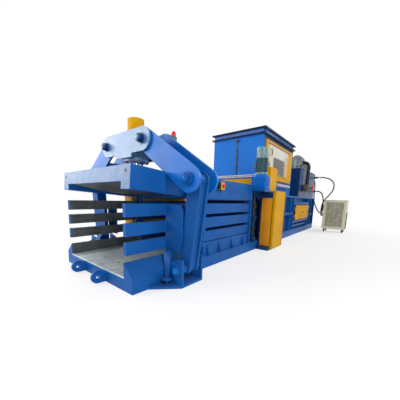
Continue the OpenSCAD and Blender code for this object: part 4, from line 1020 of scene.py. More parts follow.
@dataclass(frozen=True)
class Bed:
    """Base frame: seams, foot-pin nuts, plug welds in the floor and bolts of the brackets."""

    lug_y: float = 0.275
    lug_half: float = 0.017
    sill_front: float = -0.060
    foot_pin: tuple = (1.035, 0.200)
    brackets: tuple = (0.406, 0.784)
    bracket_edge: float = 1.078
    gussets: tuple = (1.248, 1.558, 1.948, 2.338)
    rail_y: float = 0.836
    curb_y: float = 0.803
    floor_top: float = 0.158
    floor_half: float = 0.672

    def seams(self) -> None:
        """Lay the weld beads of the lugs, brackets, curbs and gussets."""
        piece = Piece("base_welds", Paint.BLUE)
        x = self.sill_front - 0.002
        for lug, face in product((-self.lug_y, self.lug_y), (-self.lug_half, self.lug_half)):
            piece.weld((x, lug + face, 0.008), (x, lug + face, 0.136), 0.012)
        for side in SIDES:
            y, rail, curb = side * (self.rail_y + 0.002), side * self.rail_y, side * self.curb_y
            for x in self.brackets:
                piece.weld((x, y, 0.034), (x, y, 0.168), 0.012)
                piece.weld((x, y + side * 0.01, 0.033), (x, side * self.bracket_edge, 0.033), 0.012)
            for x in self.gussets:
                piece.weld((x, y, 0.176), (x, y, 0.228), 0.009)
            piece.weld((self.sill_front + 0.01, rail, 0.1745), (1.078, rail, 0.1745), 0.008, 0.03)
            piece.weld((1.17, curb, 0.176), (2.595, curb, 0.176), 0.009, 0.03)
        piece.done()

    def foot_nuts(self) -> None:
        """Put washers, nuts and stud ends on the foot pins."""
        nuts = Piece("foot_pin_nuts", Paint.BLUE)
        studs = Piece("foot_pin_studs", Paint.ARM_BLUE)
        for side in SIDES:
            place = (side * self.foot_pin[0], self.foot_pin[1])
            nuts.rod(place, (0.4085, 0.398), 0.066, 36, 0.002).rod(place, (0.3835, 0.350), 0.047, 6, 0.003)
            studs.rod(place, (0.351, 0.336), 0.024, 24, 0.003).rod(place, (0.3495, 0.346), 0.036, 32, 0.001)
        nuts.done()
        studs.done()

    def floor_plugs(self) -> None:
        """Set the ground plug welds and the plate joints of the bare floor."""
        piece = Piece("floor_plug_welds", Paint.RAM_STEEL)
        plug = ((0, 0.0012), (0.016, 0.0010), (0.019, -0.001), (0, -0.001))
        for k, y in product(range(10), (-0.52, -0.18, 0.18, 0.52)):
            piece.turned(plug, (0.18 + 0.54 * k, y, self.floor_top), Axis.Z, 16)
        low, high = self.floor_top - 0.001, self.floor_top + 0.0012
        for x in (1.53, 3.15, 4.77):
            piece.block((x - 0.004, -self.floor_half, low), (x + 0.004, self.floor_half, high))
        piece.done()

    def build(self) -> None:
        """Build the bed's fine parts."""
        self.seams()
        self.foot_nuts()
        self.floor_plugs()
        seats = product((0.50, 0.69), (-0.875, 0.875), (0.030,))
        Piece("anchor_bolts", Paint.BOLT).bolts(seats, Axis.Z, 0.036).done()


@dataclass(frozen=True)
class SidePanels:
    """Slatted side panels: seams, wear-plate bolts, hinge collars and push-plate welds."""

    slats: tuple = (0.394, 0.596, 0.798)
    slat: float = 0.136
    outer: float = 0.740
    inner: float = 0.680
    hinge: tuple = (1.125, 0.790)
    hinge_top: float = 0.986
    plate_seams: tuple = (0.481, 0.709)
    bolt_rows: tuple = (0.034, 0.102)
    bolt_columns: tuple = (0.02, 0.30, 0.58, 0.86, 1.04)

    def one_side(self, name: str, side: int, body: Body) -> None:
        """Dress one panel.

        Args:
            name: Prefix of its pieces.
            side: -1 near, 1 far.
            body: The panel's body.
        """
        weld = Piece(name + "_panel_welds", Paint.BLUE, body)
        bolts = Piece(name + "_liner_bolts", Paint.BOLT, body)
        domed = ((0, 0.0012), (0.006, 0.0012), (0.007, -0.002), (0.011, -0.002))
        domed += ((0.013, 0.0006), (0.015, 0), (0.015, -0.004), (0, -0.004))
        inward = Axis.Y if side < 0 else Axis.BACK_Y
        y = side * (self.outer + 0.001)
        for z in self.slats:
            weld.weld((0.280, y, z + 0.006), (0.280, y, z + self.slat - 0.006), 0.010)
            for x in self.plate_seams:
                weld.weld((x, y, z + 0.004), (x, y, z + self.slat - 0.004), 0.012)
            for x, rise in product(self.bolt_columns, self.bolt_rows):
                bolts.turned(domed, (x, side * self.inner, z + rise), inward, 16)
        weld.done()
        bolts.done()

    def collars(self) -> None:
        """Put the collars on the hinge pins."""
        collar = ((0, 0), (0.028, 0), (0.030, 0.002), (0.030, 0.007), (0.028, 0.009), (0.014, 0.009))
        collar += ((0.012, 0.012), (0, 0.012))
        piece = Piece("panel_pin_collars", Paint.ZINC)
        for side in SIDES:
            piece.turned(collar, (self.hinge[0], side * self.hinge[1], self.hinge_top), Axis.Z)
        piece.done()

    def build(self) -> None:
        """Build both panels' fine parts."""
        self.one_side("near", -1, Body.NEAR_PANEL)
        self.one_side("far", 1, Body.FAR_PANEL)
        self.collars()


@dataclass(frozen=True)
class Platen:
    """Hinged mouth platen: cheek seams, a front skin of painted glare and lock sockets at the front holes.

    The platen stands raised by its angle about the hinge, so places are given flat and then turned.
    """

    raised: float = math.radians(3.8)
    hinge: tuple = (1.128, 1.325)
    seam_y: float = 0.670
    seam_z: float = 1.144
    socket: tuple = (0.750, 1.178)
    skin: tuple = (-0.0457, -0.0449)

    def finish(self, piece: Piece) -> None:
        """Turn a piece from the flat platen to the raised one and finish it."""
        pivot = Vector((self.hinge[0], 0, self.hinge[1]))
        spin = Matrix.Rotation(self.raised, 3, "Y")
        bmesh.ops.rotate(piece.mesh, cent=pivot, matrix=spin, verts=piece.mesh.verts)
        piece.done()

    def seams(self) -> None:
        """Lay the cheek seams and the deck's edge welds."""
        piece = Piece("platen_welds", Paint.BLUE, Body.PLATEN)
        z = self.seam_z
        for side in SIDES:
            cheek, y = side * 0.8285, side * self.seam_y
            piece.weld((0.392, cheek, 1.004), (0.392, cheek, 1.236), 0.009)
            piece.weld((-0.02, y, z), (1.05, y, z), 0.010, 0.025)
        piece.weld((-0.028, -0.66, z), (-0.028, 0.66, z), 0.010, 0.025)
        self.finish(piece)

    def front_skin(self) -> None:
        """Lay a skin of paler, streaky enamel over the front beam and the two cheek ends, as a painted glare.
        """
        piece = Piece("platen_front_skin", Paint.GLARE_STREAKED_BLUE, Body.PLATEN)
        front, back = self.skin
        piece.block((front, -0.673, 1.0785), (back, 0.673, 1.2395))
        for side in SIDES:
            low, high = sorted((side * 0.6731, side * 0.8275))
            piece.block((front, low, 1.0005), (back, high, 1.2395))
        self.finish(piece)

    def sockets(self) -> None:
        """Fill the two front holes with their dark lock sockets."""
        piece = Piece("platen_front_sockets", Paint.SEAL, Body.PLATEN)
        lip = ((0.0125, 0.010), (0.0125, -0.0015), (0.019, -0.0015), (0.019, 0.0))
        lip += ((0.0135, 0.0), (0.0135, 0.010))
        for side in SIDES:
            y, z = side * self.socket[0], self.socket[1]
            piece.rod((y, z), (-0.0464, -0.0452), 0.0135).turned(lip, (-0.0455, y, z), Axis.X, 24)
        self.finish(piece)

    def build(self) -> None:
        """Build the platen's fine parts."""
        self.seams()
        self.front_skin()
        self.sockets()


@dataclass(frozen=True)
class Arch:
    """Squeezing arch: nuts and washers of its pins, and the link's seams."""

    link_pin: tuple = (0.410, 1.700)
    top_pin: tuple = (1.140, 1.200)
    thread: tuple = (0.3205, 0.3165, 0.3125)

    def link_nuts(self) -> None:
        """Put the nuts, washers and stud ends on the two link pins."""
        nuts = Piece("link_pin_nuts", Paint.NAVY, Body.LINK)
        # The washers, stud ends and thread rings take the link's paled enamel as a painted highlight.
        studs = Piece("link_pin_studs", Paint.GLARE_PALED_BLUE, Body.LINK)
        for side in SIDES:
            place = (side * self.link_pin[0], self.link_pin[1])
            nuts.rod(place, (0.3555, 0.322), 0.051, 6, 0.003)
            studs.rod(place, (0.390, 0.3865), 0.069, 40, 0.001).rod(place, (0.323, 0.306), 0.030, 24, 0.004)
            for depth in self.thread:
                studs.rod(place, (depth, depth - 0.002), 0.0315)
        nuts.done()
        studs.done()

    def top_nuts(self) -> None:
        """Put the nuts and washers on the arm foot pins."""
        washer = ((0.050, 0.0), (0.064, 0.0), (0.067, -0.003), (0.067, -0.006), (0.050, -0.006))
        for name, side, body in (("near", -1, Body.NEAR_POST), ("far", 1, Body.FAR_POST)):
            y, z = side * self.top_pin[0], self.top_pin[1]
            nut = Piece(name + "_post_pin_nut", Paint.BLUE, body)
            nut.rod((y, z), (0.3805, 0.352), 0.043, 6, 0.003)
            nut.turned(washer, (0.3945, y, z), Axis.X, 36).done()
            stud = Piece(name + "_post_pin_stud", Paint.ARM_BLUE, body)
            seats = [(0.3925, y + c, z + s) for c, s in ring(3, 0.059, 90)]
            stud.rod((y, z), (0.353, 0.340), 0.022, 24, 0.003).bolts(seats, Axis.BACK_X, 0.016, False).done()

    def build(self) -> None:
        """Build the arch's fine parts and the beads between the link plates and the cylinder carrier."""
        self.link_nuts()
        self.top_nuts()
        piece = Piece("link_welds", Paint.NAVY, Body.LINK)
        for x in (0.4165, 0.7735):
            piece.weld((x, -0.26, 1.5725), (x, 0.26, 1.5725), 0.011, 0.02)
        piece.done()


@dataclass(frozen=True)
class SqueezeCylinder:
    """Squeezing cylinder: end cap with its screws, weld ring and port nuts."""

    x: float = 0.595
    top: float = 2.045
    radius: float = 0.112
    ring_z: float = 1.600
    port_y: float = 0.134
    ports: tuple = (1.965, 1.620)

    def build(self) -> None:
        """Build the cylinder's fine parts."""
        cap = ((0, -0.012), (0.070, -0.012), (0.074, -0.004), (0.094, -0.003))
        cap += ((0.098, -0.0005), (0.098, -0.02), (0, -0.02))
        crown = Piece("squeeze_cylinder_cap", Paint.YELLOW, Body.LINK)
        crown.turned(cap, (self.x, 0.0, self.top), Axis.Z, 48).done()
        seats = [(self.x + c, s, self.top - 0.012) for c, s in ring(6, 0.052)]
        Piece("squeeze_cylinder_screws", Paint.BOLT, Body.LINK).bolts(seats, Axis.Z, 0.018, False).done()
        bulge = ((-0.004, -0.007), (0.002, -0.005), (0.004, 0), (0.002, 0.005), (-0.004, 0.007))
        band = Piece("squeeze_cylinder_bands", Paint.YELLOW, Body.LINK)
        band.turned([(self.radius + r, h) for r, h in bulge], (self.x, 0.0, self.ring_z), Axis.Z, 48).done()
        fitting = Piece("squeeze_cylinder_ports", Paint.ZINC, Body.LINK)
        for z in self.ports:
            fitting.bar((self.x, self.port_y, z), (self.x, self.port_y, z + 0.020), 0.013, sides=6)
        fitting.done()


@dataclass(frozen=True)
class PressureValve:
    """Pressure setting valve on the far arm of the link: a ribbed red cap over its iron block."""

    centre: tuple = (0.832, -0.500)
    low: float = 1.8005

    def build(self) -> None:
        """Build the red cap and its grip ribs."""
        x, y = self.centre
        dome = ((0, 0.070), (0.010, 0.070), (0.016, 0.066), (0.027, 0.052))
        dome += ((0.0285, 0.047), (0.0285, 0.0), (0, 0.0))
        cap = Piece("pressure_valve_cap", Paint.PLASTIC_RED, Body.LINK).turned(dome, (x, y, self.low), Axis.Z)
        for c, s in ring(12, 0.0287):
            cap.bar((x + c, y + s, self.low + 0.0025), (x + c, y + s, self.low + 0.0445), 0.0022, sides=6)
        cap.done()


@dataclass(frozen=True)
class Motor:
    """Finned electric motor with a smooth fan cowl and its air slots."""

    name: str
    start: tuple
    way: Axis
    radius: float
    body: float
    cowl: float
    fins: int
    paint: Paint = Paint.PUMP_GREY
    fin_paint: Paint = Paint.PUMP_GREY
    fin_tall: float = 0.030
    fin_thick: float = 0.005
    fin_root: float = 0.012

    def point(self, along: float, out: float = 0.0, angle: float = 0.0) -> Vector:
        """Return a point at a distance along the axis and out from it."""
        axis = self.way.vector()
        first = Vector((1, 0, 0)) if abs(axis.x) < 0.5 else Vector((0, 0, 1))
        second = axis.cross(first)
        return Vector(self.start) + axis * along + (first * math.cos(angle) + second * math.sin(angle)) * out

    def cooling_fins(self) -> None:
        """Stand thin fins around the body."""
        piece = Piece(self.name + "_fins", self.fin_paint)
        axis = self.way.vector()
        for k in range(self.fins):
            angle = math.tau * (k + 0.5) / self.fins
            low = self.point(self.cowl + 0.012, self.radius - self.fin_root, angle)
            high = self.point(self.body - 0.03, self.radius - self.fin_root, angle)
            out = (self.point(0, 1, angle) - self.point(0)).normalized()
            verts = bmesh.ops.create_cube(piece.mesh, size=1.0)["verts"]
            size = (self.fin_tall, self.fin_thick, (high - low).length)
            bmesh.ops.scale(piece.mesh, vec=size, verts=verts)
            turn = Matrix((out, axis.cross(out), axis)).transposed()
            bmesh.ops.rotate(piece.mesh, matrix=turn, verts=verts)
            bmesh.ops.translate(piece.mesh, vec=(low + high) / 2 + out * 0.002, verts=verts)
        piece.done()

    def fan_cowl(self) -> None:
        """Close the end with a pressed fan cowl and its air slots."""
        r = self.radius
        shell = [(0, -0.001), (r * 0.62, -0.001), (r * 0.90, 0.008), (r + 0.002, 0.030), (r + 0.0055, 0.045)]
        shell += [(r + 0.0055, self.cowl - 0.004), (r + 0.0025, self.cowl), (0, self.cowl)]
        Piece(self.name + "_cowl", self.paint).turned(shell, self.start, self.way, 48).done()
        # The air slots are black discs on the cowl: painted shade where the openings are.
        slots = Piece(self.name + "_cowl_slots", Paint.SEAL)
        for share, count, size in ((0.20, 6, 0.007), (0.36, 10, 0.009), (0.52, 14, 0.009)):
            for k in range(count):
                spot = self.point(-0.0012, r * share, math.tau * k / count)
                slots.bar(spot, spot + self.way.vector() * 0.002, size, sides=8)
        for k in range(4):
            angle = math.tau * (k + 0.5) / 4
            spots = [self.point(self.cowl - 0.02, r + out, angle) for out in (0.0045, 0.0095)]
            slots.bar(*spots, 0.007, sides=8)
        slots.done()

    def build(self) -> None:
        """Build the motor's fine parts."""
        self.cooling_fins()
        self.fan_cowl()


@dataclass(frozen=True)
class TyingUnit:
    """Wire tying unit: cover screws and hems, gearbox ribs, the motor and the wire heads on the shaft."""

    shaft_x: float = 2.760
    levels: tuple = (0.30, 0.45, 0.60, 0.75, 0.90)
    side_face: float = -1.1295
    front_face: float = 2.9575
    motor: tuple = (2.750, -0.915)

    def covers(self) -> None:
        """Fold hems along the covers, lay a sheet of painted shade over the front cover, and screw them on.
        """
        hems = Piece("cover_hems", Paint.YELLOW)
        outer, face = self.side_face - 0.004, self.side_face
        for z in (0.032, 1.176):
            hems.block((3.004, outer, z), (3.596, face, z + 0.014), 0.001)
        for x in (3.002, 3.584):
            hems.block((x, outer, 0.032), (x + 0.014, face, 1.190), 0.001)
        hems.done()
        # The front cover's sheet is the yellow enamel darkened as painted shade.
        front = Piece("front_cover_shade_sheet", Paint.SHADED_YELLOW)
        outer, face = self.front_face - 0.0015, self.front_face + 0.001
        front.block((self.front_face, -1.088, 0.090), (2.9602, -0.885, 1.052), 0.0005)
        for y in (-1.086, -0.899):
            front.block((outer, y, 0.092), (face, y + 0.012, 1.050), 0.001)
        for z in (0.092, 1.038):
            front.block((outer, -1.086, z), (face, -0.887, z + 0.012), 0.001)
        front.done()
        screws = Piece("cover_screws", Paint.YELLOW)
        seats = product((3.035, 3.565), (self.side_face - 0.001,), (0.08, 0.36, 0.64, 0.92, 1.15))
        screws.bolts(seats, Axis.BACK_Y, 0.018)
        seats = product((self.front_face,), (-1.062, -0.912), (0.14, 0.57, 1.00))
        screws.bolts(seats, Axis.BACK_X, 0.016).done()

    def wire_heads(self) -> None:
        """Set a wire head and its guide roller at each tying level."""
        x, y = self.shaft_x, -0.872
        heads = Piece("wire_heads", Paint.IRON)
        rollers = Piece("wire_rollers", Paint.BOLT)
        half = ((0.006, -0.014), (0.026, -0.014), (0.026, -0.009), (0.018, -0.004))
        groove = half + tuple((r, -h) for r, h in reversed(half))
        for z in self.levels:
            heads.block((x - 0.055, -0.742, z - 0.022), (x + 0.055, -0.703, z + 0.022), 0.005)
            heads.block((x - 0.100, -0.884, z - 0.026), (x - 0.080, -0.706, z - 0.016), 0.001)
            rollers.turned(groove, (x - 0.09, y, z), Axis.Z, 24)
            rollers.bar((x - 0.09, y, z - 0.024), (x - 0.09, y, z + 0.024), 0.007, sides=12)
        heads.done()
        rollers.done()

    def gearbox(self) -> None:
        """Rib the gearbox and bolt its cover and flange."""
        ribs = Piece("gearbox_ribs", Paint.BRIGHT_BLUE)
        for k in range(6):
            z = 1.222 + 0.036 * k
            ribs.block((2.622, -1.040, z), (2.641, -0.786, z + 0.012), 0.002)
            ribs.block((2.640, -1.054, z), (2.866, -1.039, z + 0.012), 0.002)
        for y in (-1.035, -0.955, -0.875, -0.797):
            ribs.block((2.624, y, 1.214), (2.641, y + 0.012, 1.440), 0.002)
        ribs.block((2.6145, -1.0605, 1.1995), (2.8905, -0.7645, 1.2155), 0.002)
        ribs.block((2.632, -1.048, 1.430), (2.873, -0.777, 1.446), 0.003).done()
        seats = [(2.628, y, 1.2150) for y in (-1.035, -0.965, -0.860, -0.795)]
        seats += [(x, -1.0500, 1.2150) for x in (2.650, 2.720, 2.790, 2.860)]
        Piece("gearbox_bolts", Paint.BOLT).bolts(seats, Axis.Z, 0.018).done()

    def build(self) -> None:
        """Build the tying unit's fine parts."""
        self.covers()
        self.wire_heads()
        self.gearbox()
        # The cowl takes the paler copy of the motor enamel and the finned body the darker one: painted light
        # and shade.
        paints = (Paint.MOTOR_GREEN, Paint.MOTOR_SHADED)
        Motor("twister_motor", (*self.motor, 1.990), Axis.DOWN, 0.103, 0.49, 0.215, 28, *paints).build()
        foot = ((0.085, 0), (0.110, 0), (0.1165, 0.003), (0.1175, 0.024), (0.1120, 0.034), (0.085, 0.040))
        flange = Piece("twister_motor_flange", Paint.MOTOR_GREEN)
        flange.turned(foot, (*self.motor, 1.4835), Axis.Z, 48).done()


@dataclass(frozen=True)
class Hopper:
    """Feed hopper: sensor cable ends, seams, rim strips of painted shade, and the door's cover sheet of
    painted glare and shade, seals and screws.
    """

    front: float = 3.398
    rear: float = 5.512
    wall_y: float = 0.642
    window: tuple = (3.920, 4.980, 1.630, 2.250)
    door_y: float = -0.682
    door: tuple = (3.492, 5.348, 1.492, 2.333)
    rim: tuple = (3.350, 5.560, 0.690)
    rim_levels: tuple = (2.4300, 2.5438)
    strip: float = 0.030

    def sensor_ends(self) -> None:
        """Plug the cable ends of the level sensor."""
        plugs = Piece("sensor_plugs", Paint.ZINC)
        for start, end, radius in ((2.352, 2.376, 0.022), (1.590, 1.562, 0.020)):
            plugs.bar((3.382, -0.007, start), (3.382, -0.007, end), radius, sides=20, edge=0.002)
        plugs.done()
        clips = Piece("sensor_cable_clips", Paint.SEAL)
        for z in (1.75, 1.95, 2.15):
            clips.block((3.362, -0.032, z), (3.398, 0.018, z + 0.014), 0.002)
        clips.done()

    def seams(self) -> None:
        """Lay the corner beads and the foot bead of the hopper."""
        piece = Piece("hopper_welds", Paint.BRIGHT_BLUE)
        for side, x in product(SIDES, (self.front, self.rear)):
            piece.weld((x, side * self.wall_y, 1.152), (x, side * self.wall_y, 2.425), 0.010, 0.028)
        x = self.front - 0.001
        piece.weld((x, -0.63, 1.1475), (x, 0.63, 1.1475), 0.012, 0.028).done()

    def door_trim(self) -> None:
        """Trim the door: a black strip of painted shade in the top groove, window seal, screws, cover sheet
        of painted glare and shade, grip, latch and hems.
        """
        x0, x1, z0, z1 = self.window
        y, w = self.door_y, 0.014
        seal = Piece("door_seals_and_groove_shade", Paint.SEAL, Body.HOPPER_DOOR)
        # The black strip in the door's top groove is painted shade; the border after it is the window's seal.
        seal.block((3.548, y - 0.0012, 2.259), (5.202, y + 0.004, 2.285), 0.0005)
        seal.border((x0 - w, y - 0.004, z0 - w), (x1 + w, y, z1 + w), w, 0.002).done()
        out = 0.045
        row = [x0 - out + k * (x1 - x0 + 2 * out) / 6 for k in range(7)]
        # The top row keeps clear of the groove and is screwed only beyond its ends.
        seats = [(x, y, z) for x, z in product(row, (z0 - out, z1 + out)) if z < 2.24 or not 3.54 < x < 5.21]
        seats += product((x0 - out, x1 + out), (y,), (1.80, 1.94, 2.08))
        Piece("door_screws", Paint.YELLOW, Body.HOPPER_DOOR).bolts(seats, Axis.BACK_Y, 0.018).done()
        # The cover sheet's colour paints a pale glare and a dark patch of shade.
        cover = Piece("door_cover_sheet", Paint.COVER_SHEET, Body.HOPPER_DOOR)
        cover.block((3.622, y - 0.0066, z0 - 0.006), (x1 + 0.006, y - 0.0045, z1 + 0.004)).done()
        grip = Piece("door_handle_grip", Paint.BLACK, Body.HOPPER_DOOR)
        grip.block((3.6975, -0.7415, 2.024), (3.7185, -0.7255, 2.146), 0.005).done()
        latch = Piece("door_latch", Paint.BOLT, Body.HOPPER_DOOR)
        latch.block((3.648, y - 0.016, 1.735), (3.676, y, 1.875), 0.004)
        latch.bar((3.662, y - 0.014, 1.805), (3.662, y - 0.030, 1.805), 0.011, 20, 0.002).done()
        x0, x1, z0, z1 = self.door
        hems = Piece("door_hems", Paint.YELLOW, Body.HOPPER_DOOR)
        hems.border((x0, y - 0.003, z0), (x1, y, z1), w, 0.001).done()

    def rim_shade_strips(self) -> None:
        """Run blue-black strips of painted shade round both flanges of the rim's channel, down its near front
        end, and along the walls under the rim.
        """
        piece = Piece("rim_shade_strips", Paint.PAINTED_SHADE)
        x0, x1, y = self.rim
        thin = 0.0006
        for z in self.rim_levels:
            top = z + self.strip
            for side in SIDES:
                piece.block((x0 + 0.0005, side * y - thin, z), (x1 - 0.0005, side * y + thin, top))
            for x in (x0, x1):
                piece.block((x - thin, -y, z), (x + thin, y, top))
        # The front-end strip and the wall strips under the rim are painted shade as well.
        piece.block((x0 + 0.002, -0.689, 2.441), (x0 + 0.008, -0.655, 2.563))
        for side in SIDES:
            y = side * self.wall_y
            piece.block((self.front + 0.002, y - 0.0016, 2.338), (self.rear - 0.002, y + 0.0016, 2.4285))
        piece.done()

    def build(self) -> None:
        """Build the hopper's fine parts."""
        self.sensor_ends()
        self.seams()
        self.rim_shade_strips()
        self.door_trim()


@dataclass(frozen=True)
class PressBody:
    """Press body: rib welds, the access door's hem, screws and knob, and the long pipe's clamps."""

    skin_y: float = 0.703
    ribs: tuple = (3.610, 4.150, 4.640, 5.120, 5.390, 7.150, 7.560, 8.066)
    rib_thick: float = 0.038
    ends: tuple = (2.61, 8.09)
    door_face: float = -0.8655

    def seams(self) -> None:
        """Lay the beads where the ribs stand on the skin."""
        for name, y in (("near", -self.skin_y), ("far", self.skin_y)):
            piece = Piece(name + "_rib_welds", Paint.BLUE)
            for x, off in product(self.ribs, (-0.002, self.rib_thick - 0.002)):
                if self.ends[0] < x + off < self.ends[1]:
                    piece.weld((x + off, y, 0.178), (x + off, y, 1.100), 0.008, 0.03)
            piece.done()

    def access_trim(self) -> None:
        """Trim the access door."""
        y = self.door_face
        hem = Piece("access_door_hem", Paint.YELLOW, Body.ACCESS_DOOR)
        hem.border((5.522, y - 0.003, 0.452), (7.098, y, 0.883), 0.012, 0.001).done()
        turned = ((0, 0), (0.020, 0), (0.020, 0.004), (0.0175, 0.006))
        turned += ((0.0175, 0.0208), (0.013, 0.0225), (0, 0.0225))
        knob = Piece("access_door_knob", Paint.BOLT, Body.ACCESS_DOOR)
        knob.turned(turned, (6.310, y, 0.665), Axis.BACK_Y, 24)
        knob.bolts(product((5.60, 7.02), (y,), (0.50, 0.835)), Axis.BACK_Y, 0.020).done()

    def build(self) -> None:
        """Build the press body's fine parts."""
        self.seams()
        self.access_trim()
        clamp = ((0.0475, -0.012), (0.0515, -0.012), (0.0515, 0.012), (0.0475, 0.012))
        clamps = Piece("long_pipe_clamps", Paint.ZINC)
        for x in (4.30, 4.65, 5.00):
            clamps.turned(clamp, (x, -0.704, 1.385), Axis.X)
        clamps.done()


@dataclass(frozen=True)
class OilUnit:
    """Oil unit: lid screws, nozzle collars, caps, pump motors and pipe flanges."""

    lid_top: float = 2.002
    lid_seam: tuple = (1.984, 1.990)
    tank: tuple = (5.890, 7.930, -0.800, 0.400)
    pipe_x: float = 6.400
    flange_y: float = -0.900
    flange_z: float = 2.230

    def lid(self) -> None:
        """Screw the lid down and seal it."""
        x0, x1, y0, y1 = self.tank
        long_rows = [x0 + 0.06 + k * (x1 - x0 - 0.12) / 13 for k in range(14)]
        short_rows = [y0 + k * (y1 - y0) / 8 for k in range(1, 8)]
        seats = list(product(long_rows, (y0 + 0.012, y1 - 0.012)))
        # One screw is left out, where the drain hose's fitting stands.
        spots = product((x0 + 0.012, x1 - 0.012), short_rows)
        seats += [(x, y) for x, y in spots if not (x > 7.8 and -0.73 < y < -0.63)]
        Piece("tank_lid_screws", Paint.BOLT).bolts([(*s, self.lid_top) for s in seats], Axis.Z, 0.018).done()
        low, high = self.lid_seam
        seal = Piece("tank_lid_seal", Paint.SEAL)
        for y in (y0 - 0.004, y1 - 0.002):
            seal.block((x0 - 0.004, y, low), (x1 + 0.004, y + 0.006, high), 0.001)
        for x in (x0 - 0.004, x1 - 0.002):
            seal.block((x, y0, low), (x + 0.006, y1, high), 0.001)
        seal.done()

    def nozzles(self) -> None:
        """Put the collars and couplings on the two hose nozzles."""
        collars = Piece("nozzle_couplings", Paint.ZINC)
        sleeves = Piece("nozzle_sleeves", Paint.BLACK)
        step = ((-0.002, 0.0), (0.008, 0.0), (0.010, 0.003), (0.010, 0.015), (0.008, 0.018), (-0.002, 0.018))
        for x, z, radius, face in ((7.880, 1.890, 0.034, -0.900), (7.870, 1.390, 0.030, -0.860)):
            collars.turned([(radius + r, h) for r, h in step], (x, -0.802, z), Axis.BACK_Y, 36)
            sleeves.bar((x, -0.820, z), (x, face - 0.001, z), radius + 0.0015, sides=36, edge=0.001)
        collars.done()
        sleeves.done()

    def flanges(self) -> None:
        """Flange the pump pipe at the valve and at the pump."""
        x, y, z = self.pipe_x, self.flange_y, self.flange_z
        plate = ((0.0475, 0.0), (0.072, 0.0), (0.074, 0.002), (0.074, 0.014), (0.072, 0.016), (0.0475, 0.016))
        pair = Piece("pump_pipe_flanges", Paint.BLACK).turned(plate, (x, y, 1.5405), Axis.Z, 40)
        pair.turned(plate, (x, -0.7215, z), Axis.BACK_Y, 40).done()
        circle = ring(6, 0.0615, 30)
        bolts = Piece("pump_flange_bolts", Paint.ZINC)
        bolts.bolts([(x + c, y + s, 1.5565) for c, s in circle], Axis.Z, 0.017, False)
        bolts.bolts([(x + c, -0.7375, z + s) for c, s in circle], Axis.BACK_Y, 0.017, False).done()

    def caps(self) -> None:
        """Crown the return filter and the filler with screwed caps."""
        tall = ((0, 0), (0.030, 0), (0.034, -0.004), (0.0615, -0.006))
        tall += ((0.0625, -0.012), (0.0625, -0.040), (0, -0.040))
        flat = ((0, 0.001), (0.052, 0.001), (0.0615, -0.004), (0.0615, -0.022), (0, -0.022))
        piece = Piece("filter_caps", Paint.BLACK).turned(tall, (5.980, -0.560, 2.2805), Axis.Z, 40)
        piece.turned(flat, (7.300, 0.0, 2.0605), Axis.Z, 40).done()

    def build(self) -> None:
        """Build the oil unit's fine parts."""
        self.lid()
        self.nozzles()
        self.flanges()
        self.caps()
        Motor("pump_motor_a", (6.279, -0.540, 2.290), Axis.X, 0.165, 0.34, 0.10, 36).build()
        Motor("pump_motor_b", (6.899, -0.600, 2.170), Axis.X, 0.150, 0.43, 0.13, 34).build()


@dataclass(frozen=True)
class FarGuard:
    """Sheet guard behind the far chamber wall, open above and below, whose yellow shows through the slots."""

    low: tuple = (1.080, 0.840, 0.213)
    high: tuple = (2.560, 1.090, 1.165)
    sheet: float = 0.003
    hem: float = 0.030
    stays: tuple = (1.45, 1.82, 2.19)

    def build(self) -> None:
        """Build the folded sheet and its hems in place of the plain solid."""
        (x0, y0, z0), (x1, y1, z1) = self.low, self.high
        t, hem = self.sheet, self.hem
        piece = Piece("far_guard_sheet", Paint.YELLOW).block((x0, y1 - t, z0), (x1, y1, z1), 0.001)
        for x in (x0, x1 - t):
            piece.block((x, y0, z0), (x + t, y1 - t, z1), 0.001)
        for z in (z0, z1 - t):
            piece.block((x0 + t, y1 - hem, z), (x1 - t, y1 - t, z + t))
        for x, z in product(self.stays, (z1 - hem, z0 + hem - t)):
            piece.block((x, y0 + 0.002, z), (x + 0.030, y1 - t, z + t))
        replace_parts(piece.done(), "far_guard")


@dataclass(frozen=True)
class SwitchBox:
    """Emergency stop box: dark side, cable gland, lid screws and the stop button's collar."""

    middle: tuple = (1.445, 1.194)
    face: float = -0.910

    def build(self) -> None:
        """Build the box's fine parts."""
        x, z = self.middle
        side = Piece("switch_box_side", Paint.SEAL)
        side.block((1.3925, -0.908, 1.142), (1.3955, -0.842, 1.246), 0.001)
        side.bar((x, -0.875, 1.140), (x, -0.875, 1.118), 0.011, sides=12, edge=0.002).done()
        seats = product((x - 0.040, x + 0.040), (self.face,), (1.150, 1.238))
        Piece("switch_box_screws", Paint.ZINC).bolts(seats, Axis.BACK_Y, 0.008, False).done()
        collar = ((0.014, 0), (0.021, 0), (0.0215, 0.0006), (0.021, 0.0012), (0.014, 0.0012))
        Piece("stop_button_ring", Paint.ZINC).turned(collar, (x, self.face, z), Axis.BACK_Y).done()


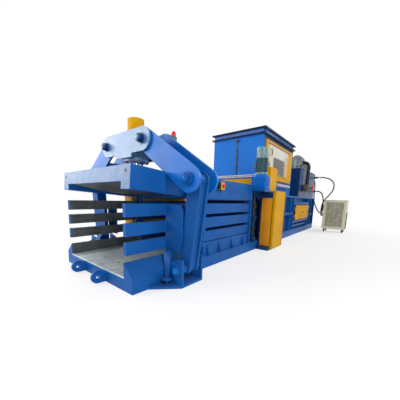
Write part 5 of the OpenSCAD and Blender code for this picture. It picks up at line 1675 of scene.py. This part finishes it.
@dataclass(frozen=True)
class Chiller:
    """Oil chiller: filter cloth in its frame, louvres, side vent, lid seam and panel screws."""

    face: float = 7.100
    side: float = -1.955
    grille: tuple = (-1.895, -1.380, 0.190, 1.015)
    strip: float = 0.014
    gap: float = 0.001

    def filter_panel(self) -> None:
        """Fit the framed filter cloth into the front opening."""
        y0, y1, z0, z1 = self.grille
        w, gap = self.strip, self.gap
        cloth = Piece("filter_cloth", Paint.FILTER)
        low, high = (y0 + gap, z0 + gap), (y1 - gap, z1 - gap)
        cloth.block((self.face + 0.0025, *low), (self.face + 0.0050, *high)).done()
        x0, x1 = self.face + 0.0005, self.face + 0.0035
        bars = Piece("filter_frame", Paint.BEIGE).border((x0, *low), (x1, *high), w - gap, 0.001)
        for k in range(1, 4):
            y = y0 + k * (y1 - y0) / 4
            bars.block((x0 + 0.001, y - 0.002, z0 + w), (x1, y + 0.002, z1 - w))
        bars.done()

    def vents(self) -> None:
        """Close the side slot with painted louvres, and set the dark vent behind it."""
        louvres = Piece("chiller_louvres", Paint.BEIGE)
        for k in range(16):
            z = 0.190 + 0.030 * k
            louvres.block((7.161, -1.9535, z), (7.219, -1.9490, z + 0.019), 0.001)
        louvres.block((7.161, -1.9490, 0.181), (7.219, -1.9475, 0.679)).done()
        vent = Piece("chiller_side_vent", Paint.PLASTIC_BLACK)
        vent.block((7.270, self.side - 0.0002, 0.120), (7.610, self.side + 0.0015, 0.680))
        for k in range(17):
            z = 0.128 + 0.032 * k
            vent.block((7.280, self.side - 0.0005, z), (7.600, self.side + 0.0005, z + 0.022))
        vent.done()

    def lid(self) -> None:
        """Draw the lid's seam and its screws."""
        low, high = 1.046, 1.049
        seam = Piece("chiller_lid_seam", Paint.SEAL)
        seam.block((self.face - 0.0006, -1.9545, low), (self.face + 0.0004, -1.3205, high))
        seam.block((self.face + 0.001, self.side - 0.0002, low), (7.699, self.side + 0.0008, high)).done()
        domed = ((0, 0.0005), (0.004, 0.0004), (0.005, -0.001), (0, -0.001))
        screws = Piece("chiller_screws", Paint.ZINC)
        for x, z in product((7.13, 7.40, 7.67), (0.140, 1.060)):
            screws.turned(domed, (x, self.side, z), Axis.BACK_Y, 12)
        seats = product((self.face,), (-1.940, -1.335), (0.150, 0.60, 1.060))
        screws.bolts(seats, Axis.BACK_X, 0.010).done()

    def build(self) -> None:
        """Build the chiller's fine parts."""
        self.filter_panel()
        self.vents()
        self.lid()


MACHINE = (
    *(Bed(), SidePanels(), Platen(), Arch(), SqueezeCylinder(), PressureValve(), TyingUnit(), Hopper()),
    *(PressBody(), OilUnit(), FarGuard(), SwitchBox(), Chiller()),
)


def main() -> None:
    """Build everything in order."""
    logging.basicConfig(level=logging.INFO, format="%(name)s: %(message)s")
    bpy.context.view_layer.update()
    studio = Studio()
    studio.camera()
    for hose in HOSES:
        hose.build()
    dress()
    for assembly in MACHINE:
        assembly.build()
    studio.build()
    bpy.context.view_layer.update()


if __name__ == "__main__":
    main()
